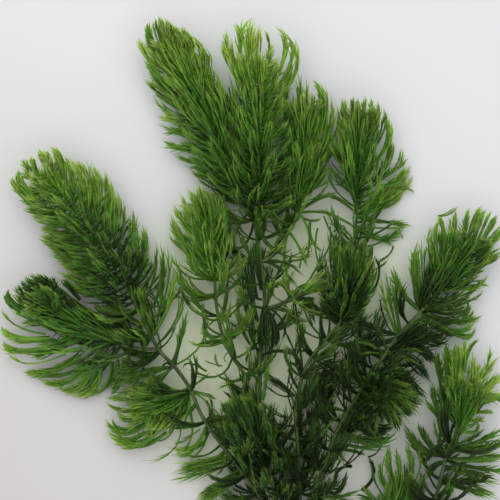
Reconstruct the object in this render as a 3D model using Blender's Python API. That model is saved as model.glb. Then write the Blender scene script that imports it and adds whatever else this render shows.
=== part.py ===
import math
import random

import bmesh
import bpy
import numpy as np
from mathutils import Matrix, Vector

# Hornwort, a branching water plant lying on a flat surface, in metres with +Z up.
# Its stems carry open whorls of forked leaves and end in dense, brush-like shoots.

MM = 0.001

# Places are read off a photograph taken from straight above: x and y in its pixels, height in mm
PIXEL = 0.4 * MM
MIDDLE_X_PX = 262.3
MIDDLE_Y_PX = 304.4

STEM_ROUTES = {
    "main": [(290, 590, 1.4), (287, 560, 3), (280, 520, 5), (272, 480, 6), (264, 440, 6.5), (258, 405, 7),
             (260, 385, 7), (260, 356, 7), (265, 308, 7), (261, 262, 7), (255, 225, 7), (246, 196, 8),
             (225, 150, 9.5), (185, 75, 10.5), (160, 21, 10.5)],
    "upper_middle": [(261, 262, 7), (273, 255, 7.5), (288, 233, 8), (297, 212, 8.5), (303, 160, 9),
                     (306, 118, 9.5), (308, 70, 9.5)],
    "second": [(284, 545, 4), (291, 541, 4.5), (297, 527, 5), (300, 500, 6), (298, 442, 7),
               (296, 411, 7), (303, 375, 7), (314, 355, 6.5), (328, 338, 6), (343, 318, 5),
               (352, 280, 4.5), (356, 240, 5), (358, 191, 7), (358, 150, 9.5), (363, 97, 11)],
    "left": [(281, 525, 5), (271, 520, 5.5), (260, 497, 6.5), (240, 470, 7), (204, 420, 7.5), (190, 389, 8),
             (173, 365, 8), (158, 349, 8), (140, 313, 8.5), (124, 284, 9), (92, 233, 10.5),
             (62, 194, 11), (30, 158, 11)],
    "low_left": [(158, 349, 8), (138, 349, 8.5), (112, 341, 9), (80, 325, 9.5), (48, 302, 9.5),
                 (20, 283, 9.5)],
    "centre_left": [(258, 398, 7), (250, 391, 8), (244, 374, 8.5), (233, 357, 9), (223, 336, 9),
                    (217, 310, 9), (214, 275, 9.5), (209, 235, 10), (200, 200, 10), (196, 181, 10)],
    "side": [(265, 309, 7), (280, 304, 8.5), (298, 295, 10), (314, 283, 12), (326, 268, 13)],
    "right": [(300, 508, 6), (308, 503, 6.5), (317, 486, 7), (327, 462, 8), (332, 442, 8.5), (346, 414, 9),
              (365, 385, 9.5), (387, 351, 10), (398, 335, 10), (422, 310, 10), (440, 290, 10),
              (458, 262, 10.5), (474, 236, 11), (489, 207, 11)],
    "low_right": [(289, 572, 2.5), (320, 566, 4), (365, 554, 5.5), (405, 536, 7), (430, 512, 8),
                  (440, 482, 9), (446, 455, 9.5), (457, 430, 10), (461, 395, 10.5), (465, 339, 11)],
}
TUFT_ROUTES = {
    "top_centre": [(254, 222, 7), (257, 217, 10), (259, 200, 12.5), (260, 170, 13.5), (259, 120, 14),
                   (257, 65, 13), (256, 24, 12.5)],
    "short_left": [(192, 392, 8), (178, 398, 9), (150, 406, 9.5), (125, 410, 9.5), (104, 410, 9)],
    "bottom_centre": [(270, 470, 6), (265, 463, 9.5), (258, 446, 14), (248, 422, 17), (239, 400, 17),
                      (236, 386, 16)],
    "centre_right": [(342, 319, 5), (343, 314, 9), (346, 303, 13), (350, 284, 16), (351, 262, 17),
                     (350, 240, 16)],
    "dark_right": [(361, 391, 9.5), (371, 393, 14), (385, 396, 18), (400, 392, 19), (410, 386, 18)],
    "small_right": [(385, 545, 6), (388, 535, 8), (395, 518, 9), (399, 495, 9.5), (400, 472, 9.5),
                    (400, 447, 9)],
}
# The stem that each branch grows from
PARENTS = {
    "upper_middle": "main",
    "second": "main",
    "left": "main",
    "low_left": "left",
    "centre_left": "main",
    "side": "main",
    "right": "second",
    "low_right": "main",
    "top_centre": "main",
    "short_left": "left",
    "bottom_centre": "main",
    "centre_right": "second",
    "dark_right": "right",
    "small_right": "low_right",
}
# Thickness of a stem at its start and where its dense end begins
STEM_RADIUS = {
    "main": (1.25 * MM, 0.95 * MM),
    "upper_middle": (0.95 * MM, 0.8 * MM),
    "second": (1.15 * MM, 0.85 * MM),
    "left": (1.15 * MM, 0.95 * MM),
    "low_left": (0.95 * MM, 0.85 * MM),
    "centre_left": (1.0 * MM, 0.8 * MM),
    "side": (0.85 * MM, 0.7 * MM),
    "right": (1.1 * MM, 0.9 * MM),
    "low_right": (1.1 * MM, 0.9 * MM),
}
TUFT_BASE_RADIUS = 0.85 * MM
# Dense shoot ends: the length along the stem, the half width near the tip and at the base, and how
# many rings of locks
SHOOT_ENDS = {
    "main": (79 * MM, 12.5 * MM, 23.0 * MM, 7),
    "upper_middle": (58 * MM, 12.0 * MM, 16.0 * MM, 5),
    "second": (66 * MM, 13.5 * MM, 21.0 * MM, 7),
    "left": (72 * MM, 15.0 * MM, 20.0 * MM, 7),
    "low_left": (49 * MM, 13.5 * MM, 25.0 * MM, 6),
    "centre_left": (40 * MM, 12.0 * MM, 15.0 * MM, 4),
    "side": (14 * MM, 8.0 * MM, 10.0 * MM, 2),
    "right": (50 * MM, 15.0 * MM, 20.0 * MM, 6),
    "low_right": (40 * MM, 13.0 * MM, 17.0 * MM, 4),
    "top_centre": (86 * MM, 13.0 * MM, 18.0 * MM, 7),
    "short_left": (38 * MM, 12.0 * MM, 16.0 * MM, 4),
    "bottom_centre": (44 * MM, 10.0 * MM, 13.0 * MM, 4),
    "centre_right": (44 * MM, 11.0 * MM, 14.0 * MM, 4),
    "dark_right": (34 * MM, 13.0 * MM, 18.0 * MM, 3),
    "small_right": (44 * MM, 10.0 * MM, 14.0 * MM, 4),
}
# Open whorls: the leaf length, and how far along the stem each one sits, in mm
WHORLS = {
    "main": (19 * MM, (61, 70, 88.5, 98, 106, 123.5, 141, 155)),
    "upper_middle": (15 * MM, (16,)),
    "second": (20 * MM, (32, 46, 61.5, 73, 84.5, 108)),
    "left": (23 * MM, (16, 36, 54, 76, 94.5)),
    "low_left": (22 * MM, (8,)),
    "centre_left": (18 * MM, (19, 27.5, 36, 44.5)),
    "right": (22 * MM, (27, 40, 65, 76, 87)),
    "low_right": (20 * MM, (24, 52, 68, 86)),
}

GAP = 0.3 * MM
CUT_TOLERANCE = 0.001 * MM
HEADING_REACH = 2 * MM
STEM_POINT_STEP = 8 * MM
STEM_BEVEL_RESOLUTION = 1
RIM_POINTS = 8
ROUTE_FINE_STEPS = 12
SEED = 7

# A shoot end's core, as a share of its half width, and how its locks lean and narrow
CORE_SHARE = 0.42
CORE_SIDES = 6
CORE_SWELL_SHARE = 0.25
CORE_ROOM_SHARE = 0.9
BASE_BAND = 4 * MM
RING_TWIST = math.radians(30)
LOCK_SWEEP_SHARE = 0.8
LOCK_MIDDLE_SCALE = 0.45
NO_LOCK_BELOW = -0.85
LONGEST_SWEEP = 0.85
SHORTEST_LOCK = 0.4
TIP_ROUNDING = 14 * MM
TIP_BUD = 3 * MM

# A whorl's ring round the stem, and its forked leaves
RING_WALL = 0.7 * MM
RING_HEIGHT = 1.5 * MM
SIDEWAYS_BELOW = 0.5
LEAF_COUNT = 5
LEAF_OUT_SHARE = 0.68
LEAF_FORWARD_SHARE = 0.62
LEAF_MIDDLE_SCALE = 0.9
LEAF_FORK_SHARE = 0.17
UNFORKED_BELOW = -0.35

# Leaves differ a little in length, sag, and bend along the surface where they would pass through it
LENGTH_RANGE = (0.9, 1.08)
SAG = 2.0 * MM
LOWEST_MIDDLE = 0.45 * MM
LOWEST_TIP = 0.3 * MM
MIDDLE_OF_LEAF = 0.5
AHEAD_OF_MIDDLE = 0.6
REACH_STEPS = (1.0, 0.9, 0.8, 0.7, 0.6, 0.5, 0.4)
REACH_SAMPLES = (0.35, 0.5, 0.65, 0.8, 1.0)

FINISHES = {
    "stem": ((0.115, 0.165, 0.045), 0.45),
    "mature_leaf": ((0.045, 0.115, 0.018), 0.42),
    "young_leaf": ((0.085, 0.235, 0.028), 0.4),
}


def clear_scene():
    for thing in list(bpy.data.objects):
        bpy.data.objects.remove(thing, do_unlink=True)


def real_place(point):
    across, down, height = point
    return np.array([(across - MIDDLE_X_PX) * PIXEL, (MIDDLE_Y_PX - down) * PIXEL, height * MM])


class Route:
    # A smooth curve through the points of a route, measured along its length

    def __init__(self, points):
        through = [real_place(point) for point in points]
        first = 2 * through[0] - through[1]
        last = 2 * through[-1] - through[-2]
        ends = [first] + through + [last]
        line = []
        for a, b, c, d in zip(ends, ends[1:], ends[2:], ends[3:]):
            for step in range(ROUTE_FINE_STEPS):
                t = step / ROUTE_FINE_STEPS
                bend = (2 * a - 5 * b + 4 * c - d) * t * t + (3 * b - a - 3 * c + d) * t ** 3
                line.append(0.5 * (2 * b + (c - a) * t + bend))
        line.append(through[-1])
        self.line = np.array(line)
        runs = np.linalg.norm(np.diff(self.line, axis=0), axis=1)
        self.along = np.concatenate([[0.0], np.cumsum(runs)])
        self.length = float(self.along[-1])

    def place(self, distance):
        return Vector([float(np.interp(distance, self.along, self.line[:, axis])) for axis in range(3)])

    def heading(self, distance):
        near = max(distance - HEADING_REACH, 0.0)
        far = min(distance + HEADING_REACH, self.length)
        return (self.place(far) - self.place(near)).normalized()

    def nearest(self, point):
        return float(np.linalg.norm(self.line - np.array(point), axis=1).min())

    def frame(self, distance, twist=0.0):
        # The first two axes lie across the stem, and the third runs along it
        along = self.heading(distance)
        side = along.cross(Vector((0, 0, 1))).normalized()
        up = side.cross(along).normalized()
        turn = Matrix((side, up, along)).transposed()
        return Matrix.Translation(self.place(distance)) @ turn.to_4x4() @ Matrix.Rotation(twist, 4, "Z")


def room_beside(point, routes, own):
    # The distance to the nearest other branch
    return min(route.nearest(point) for name, route in routes.items() if name != own)


def leaf_place(root, outward, forward, reach, sweep, t):
    # A leaf grows straight out and bends forward, on a quarter of an ellipse
    angle = t * math.pi / 2
    place = root + outward * reach * math.sin(angle) + forward * sweep * (1 - math.cos(angle))
    place.z -= SAG * t * t
    lowest = LOWEST_MIDDLE + (LOWEST_TIP - LOWEST_MIDDLE) * t
    place.z = max(place.z, lowest)
    return place


def free_share(root, outward, forward, reach, sweep, half_width, routes, own, grown):
    # The share of a leaf's length that stays on its own side of every neighbouring branch and
    # clear of the leaves grown before it, whose places and widths are in the list
    for share in REACH_STEPS:
        line = []
        for t in REACH_SAMPLES:
            place = leaf_place(root, outward, forward, reach * share, sweep * share, t)
            width = half_width * (1 - t) * 2 + GAP
            if routes[own].nearest(place) + width + GAP > room_beside(place, routes, own):
                break
            if any((place - other).length < width + other_width for other, other_width in grown):
                break
            line.append((place, width))
        else:
            grown.extend(line)
            return share
    return 0.0


def grow_leaf(bm, face, root, outward, forward, reach, sweep, scale, fork):
    # One extrusion carries the face to the middle of the leaf, and the tips are poked out of it
    middle = leaf_place(root, outward, forward, reach, sweep, MIDDLE_OF_LEAF)
    ahead = leaf_place(root, outward, forward, reach, sweep, AHEAD_OF_MIDDLE)
    tip = leaf_place(root, outward, forward, reach, sweep, 1.0)
    out = bmesh.ops.extrude_discrete_faces(bm, faces=[face])["faces"][0]
    centre = out.calc_center_median()
    turn = outward.rotation_difference(ahead - middle).to_matrix().to_4x4()
    move = Matrix.Translation(middle) @ turn @ Matrix.Scale(scale, 4) @ Matrix.Translation(-centre)
    bmesh.ops.transform(bm, matrix=move, verts=out.verts)
    if not fork:
        bmesh.ops.poke(bm, faces=[out])["verts"][0].co = tip
        return
    across = outward.cross(forward).normalized()
    edges = sorted(out.edges, key=lambda e: -abs((e.verts[0].co - e.verts[1].co).normalized().dot(across)))
    split = bmesh.ops.subdivide_edges(bm, edges=edges[:2], cuts=1)
    inner = [e for e in split["geom_inner"] if isinstance(e, bmesh.types.BMEdge)][0]
    halves = list(inner.link_faces)
    for half in halves:
        side = 1 if (half.calc_center_median() - middle).dot(across) > 0 else -1
        prong = tip + across * side * fork
        prong.z = max(prong.z, LOWEST_TIP)
        bmesh.ops.poke(bm, faces=[half])["verts"][0].co = prong


def drop_offcuts(bm):
    # A leaf tip that the cut has parted from its plant is taken away
    seen = set()
    islands = []
    for first in bm.faces:
        if first in seen:
            continue
        seen.add(first)
        island = [first]
        for face in island:
            for edge in face.edges:
                for neighbour in edge.link_faces:
                    if neighbour not in seen:
                        seen.add(neighbour)
                        island.append(neighbour)
        islands.append(island)
    largest = max(islands, key=len)
    loose = [face for island in islands if island is not largest for face in island]
    if loose:
        bmesh.ops.delete(bm, geom=loose, context="FACES")


def cut_at_surface(bm):
    # What reaches below the surface that the plant lies on is cut off flat
    everything = bm.verts[:] + bm.edges[:] + bm.faces[:]
    bmesh.ops.bisect_plane(bm, geom=everything, plane_co=(0, 0, 0), plane_no=(0, 0, -1),
                           clear_outer=True, dist=CUT_TOLERANCE)
    rims = [edge for edge in bm.edges if edge.is_boundary]
    if rims:
        bmesh.ops.holes_fill(bm, edges=rims, sides=0)
    drop_offcuts(bm)
    bmesh.ops.triangulate(bm, faces=[face for face in bm.faces if len(face.verts) > 3])
    bmesh.ops.recalc_face_normals(bm, faces=bm.faces[:])
    if bm.calc_volume(signed=True) < 0:
        bmesh.ops.reverse_faces(bm, faces=bm.faces[:])


def finish_mesh(bm, name, finish, collection, materials):
    cut_at_surface(bm)
    mesh = bpy.data.meshes.new(name)
    bm.to_mesh(mesh)
    bm.free()
    piece = bpy.data.objects.new(name, mesh)
    collection.objects.link(piece)
    mesh.materials.append(materials[finish])


def make_stem(name, route, start, end, radii, collection, materials):
    curve = bpy.data.curves.new(name, "CURVE")
    curve.dimensions = "3D"
    curve.bevel_depth = 1.0
    curve.bevel_resolution = STEM_BEVEL_RESOLUTION
    curve.use_fill_caps = True
    steps = max(2, round((end - start) / STEM_POINT_STEP))
    spline = curve.splines.new("POLY")
    spline.points.add(steps)
    for number, point in enumerate(spline.points):
        share = number / steps
        place = route.place(start + (end - start) * share)
        point.co = (place.x, place.y, place.z, 1.0)
        point.radius = radii[0] + (radii[1] - radii[0]) * share
    curve.materials.append(materials["stem"])
    collection.objects.link(bpy.data.objects.new(name, curve))


def tip_rounding(distance_to_tip):
    # The outline closes over the shoot's tip like the end of an egg
    near = min(1.0, max(0.0, distance_to_tip / TIP_ROUNDING))
    return math.sqrt(1 - (1 - near) ** 2)


def core_radius(share, distance_to_tip, half_width):
    # Slim like the stem at its start, then full, and round at the tip
    swell = min(1.0, share / CORE_SWELL_SHARE)
    full = half_width * CORE_SHARE * tip_rounding(distance_to_tip)
    return TUFT_BASE_RADIUS + (full - TUFT_BASE_RADIUS) * math.sin(swell * math.pi / 2)


def core_stations(own, routes, start, end, tip_width, rings):
    # Where each ring of the core sits, and the matrix that puts a unit circle there
    route = routes[own]
    length = end - start
    stations = []
    for ring in range(rings + 2):
        run = (length - TIP_BUD - BASE_BAND) * max(0, ring - 1) / rings
        distance = start + BASE_BAND * min(ring, 1) + run
        wanted = core_radius((distance - start) / length, end - distance, tip_width)
        room = (room_beside(route.place(distance), routes, own) - GAP) / 2
        radius = max(min(wanted, room * CORE_ROOM_SHARE), TUFT_BASE_RADIUS * CORE_ROOM_SHARE)
        shape = route.frame(distance, ring * RING_TWIST) @ Matrix.Diagonal((radius, radius, 1.0, 1.0))
        stations.append((distance, shape))
    return stations


def make_core(bm, stations):
    # A cone set between the first two rings, and its cap extruded on through all the others
    bmesh.ops.create_cone(bm, cap_ends=True, cap_tris=False, segments=CORE_SIDES, radius1=1.0,
                          radius2=1.0, depth=2.0)
    back = [vert for vert in bm.verts if vert.co.z < 0]
    front = [vert for vert in bm.verts if vert.co.z > 0]
    cap = max(bm.faces, key=lambda face: face.calc_center_median().z)
    for ring, height, (_, shape) in zip((back, front), (-1, 1), stations):
        bmesh.ops.transform(bm, matrix=shape @ Matrix.Translation((0, 0, -height)), verts=ring)
    bands = []
    for (_, before), (distance, shape) in zip(stations[1:], stations[2:]):
        cap = bmesh.ops.extrude_discrete_faces(bm, faces=[cap])["faces"][0]
        bmesh.ops.transform(bm, matrix=shape @ before.inverted(), verts=cap.verts)
        bands.append([loop.link_loop_radial_next.face for loop in cap.loops])
    return cap, bands


def make_shoot_end(name, own, routes, start, end, widths, rings, chance, collection, materials):
    # A core drawn along the stem's route, with a pointed lock of leaves grown from each of its sides
    route = routes[own]
    tip_width, base_width = widths
    stations = core_stations(own, routes, start, end, tip_width, rings)
    bm = bmesh.new()
    cap, bands = make_core(bm, stations)
    grown = []
    for (near, _), (far, _), sides in zip(stations[1:], stations[2:], bands):
        middle = (near + far) / 2
        axis_place = route.place(middle)
        forward = route.heading(middle)
        half_width = tip_width + (base_width - tip_width) * (end - middle) / (end - start)
        for face in sides:
            root = face.calc_center_median()
            outward = root - axis_place
            core = outward.length
            outward = (outward - forward * outward.dot(forward)).normalized()
            if outward.z < NO_LOCK_BELOW:
                continue
            change = chance.uniform(*LENGTH_RANGE)
            sweep = min(half_width * LOCK_SWEEP_SHARE, (end - middle) * LONGEST_SWEEP) * change
            outline = half_width * tip_rounding(end - middle - sweep)
            reach = max(outline * change - core, core * SHORTEST_LOCK)
            slim = LOCK_MIDDLE_SCALE * tip_rounding(end - middle)
            half = max(edge.calc_length() for edge in face.edges) * slim / 2
            share = free_share(root, outward, forward, reach, sweep, half, routes, own, grown)
            if share > 0:
                grow_leaf(bm, face, root, outward, forward, reach * share, sweep * share, slim, 0.0)
    bmesh.ops.poke(bm, faces=[cap])["verts"][0].co = route.place(end)
    finish_mesh(bm, name, "young_leaf", collection, materials)


def make_whorl(name, own, routes, distance, stem_radius, leaf_length, chance, collection, materials):
    # A ring that clears the stem, with one forked leaf grown from each of its outer faces
    route = routes[own]
    inner = (stem_radius + GAP) / math.cos(math.pi / LEAF_COUNT)
    outer = inner + RING_WALL
    bm = bmesh.new()
    bmesh.ops.create_grid(bm, x_segments=1, y_segments=1, size=0.5)
    to_profile = Matrix(((outer - inner, 0, 0, (outer + inner) / 2), (0, 0, 1, 0),
                         (0, RING_HEIGHT, 0, 0), (0, 0, 0, 1)))
    bmesh.ops.transform(bm, matrix=to_profile, verts=bm.verts)
    bmesh.ops.delete(bm, geom=bm.faces[:], context="FACES_ONLY")
    bmesh.ops.spin(bm, geom=bm.verts[:] + bm.edges[:], cent=(0, 0, 0), axis=(0, 0, 1),
                   angle=math.tau, steps=LEAF_COUNT, use_merge=True)
    bmesh.ops.recalc_face_normals(bm, faces=bm.faces[:])
    limit = (inner + outer) / 2 * math.cos(math.pi / LEAF_COUNT)
    walls = [face for face in bm.faces if face.calc_center_median().xy.length > limit
             and abs(face.normal.z) < SIDEWAYS_BELOW]
    frame = route.frame(distance, chance.uniform(0, math.tau / LEAF_COUNT))
    bmesh.ops.transform(bm, matrix=frame, verts=bm.verts)
    axis_place = route.place(distance)
    forward = route.heading(distance)
    grown = []
    for face in walls:
        root = face.calc_center_median()
        outward = (root - axis_place).normalized()
        length = leaf_length * chance.uniform(*LENGTH_RANGE)
        reach = length * LEAF_OUT_SHARE
        sweep = length * LEAF_FORWARD_SHARE
        share = free_share(root, outward, forward, reach, sweep, RING_HEIGHT / 2, routes, own, grown)
        fork = length * share * LEAF_FORK_SHARE if outward.z > UNFORKED_BELOW else 0.0
        if share > 0:
            grow_leaf(bm, face, root, outward, forward, reach * share, sweep * share,
                      LEAF_MIDDLE_SCALE, fork)
    finish_mesh(bm, name, "mature_leaf", collection, materials)


def make_materials():
    materials = {}
    for name, (colour, roughness) in FINISHES.items():
        material = bpy.data.materials.new(name)
        material.use_nodes = True
        shader = material.node_tree.nodes["Principled BSDF"]
        shader.inputs["Base Color"].default_value = (*colour, 1.0)
        shader.inputs["Roughness"].default_value = roughness
        shader.inputs["Metallic"].default_value = 0.0
        materials[name] = material
    return materials


def side_start(route, radius, parent, parent_radius):
    # How far along a side branch its flat end first clears the parent stem
    distance = 0.0
    while distance < route.length:
        rim = route.frame(distance)
        turns = [math.tau * number / RIM_POINTS for number in range(RIM_POINTS)]
        corners = [rim @ Vector((radius * math.cos(turn), radius * math.sin(turn), 0)) for turn in turns]
        if min(parent.nearest(corner) for corner in corners) > parent_radius + GAP:
            return distance
        distance += GAP / 3
    return distance


def main():
    clear_scene()
    collection = bpy.data.collections.new("hornwort")
    bpy.context.scene.collection.children.link(collection)
    materials = make_materials()
    routes = {name: Route(points) for name, points in {**STEM_ROUTES, **TUFT_ROUTES}.items()}
    chance = random.Random(SEED)

    starts = {"main": 0.0}
    for name, parent in PARENTS.items():
        own_radius = STEM_RADIUS[name][0] if name in STEM_RADIUS else TUFT_BASE_RADIUS
        starts[name] = side_start(routes[name], own_radius, routes[parent], STEM_RADIUS[parent][0])

    for name, (length, tip_width, base_width, rings) in SHOOT_ENDS.items():
        route = routes[name]
        begin = max(route.length - length, starts[name])
        if name in STEM_ROUTES:
            make_stem("stem_" + name, route, starts[name], begin - GAP, STEM_RADIUS[name],
                      collection, materials)
        make_shoot_end("shoot_" + name, name, routes, begin, route.length, (tip_width, base_width),
                       rings, chance, collection, materials)

    for name, (leaf_length, places) in WHORLS.items():
        thick, thin = STEM_RADIUS[name]
        stem_end = routes[name].length - SHOOT_ENDS[name][0]
        for number, place in enumerate(places):
            share = (place * MM - starts[name]) / (stem_end - starts[name])
            radius = thick + (thin - thick) * share
            make_whorl(f"whorl_{name}_{number + 1}", name, routes, place * MM, radius, leaf_length,
                       chance, collection, materials)


main()
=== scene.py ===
import math

import bmesh
import bpy
import numpy as np
from mathutils import Matrix, Vector


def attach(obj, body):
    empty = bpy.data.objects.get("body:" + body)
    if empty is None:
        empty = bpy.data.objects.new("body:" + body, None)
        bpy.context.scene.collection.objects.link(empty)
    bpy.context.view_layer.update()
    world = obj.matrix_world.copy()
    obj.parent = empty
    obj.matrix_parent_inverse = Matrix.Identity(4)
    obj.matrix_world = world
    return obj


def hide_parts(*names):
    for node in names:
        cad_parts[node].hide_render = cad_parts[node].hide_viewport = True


# Hornwort, wet, lying flat. Lengths are in metres, and mm turns millimetres into them.
mm = 0.001
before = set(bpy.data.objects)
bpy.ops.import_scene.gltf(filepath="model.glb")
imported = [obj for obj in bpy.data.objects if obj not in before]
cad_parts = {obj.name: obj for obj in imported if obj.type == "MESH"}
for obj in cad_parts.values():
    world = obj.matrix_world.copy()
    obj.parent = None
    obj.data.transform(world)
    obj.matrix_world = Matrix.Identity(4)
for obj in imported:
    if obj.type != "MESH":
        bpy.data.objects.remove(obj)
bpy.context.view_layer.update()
print("frame loaded,", len(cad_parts), "solids")

photo = {
    "pixel": 0.4 * mm,  # one pixel of the photograph on the plant
    "middle": (262.3, 304.4),  # the pixel that is x = 0, y = 0
    "size": 500,
}

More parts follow.
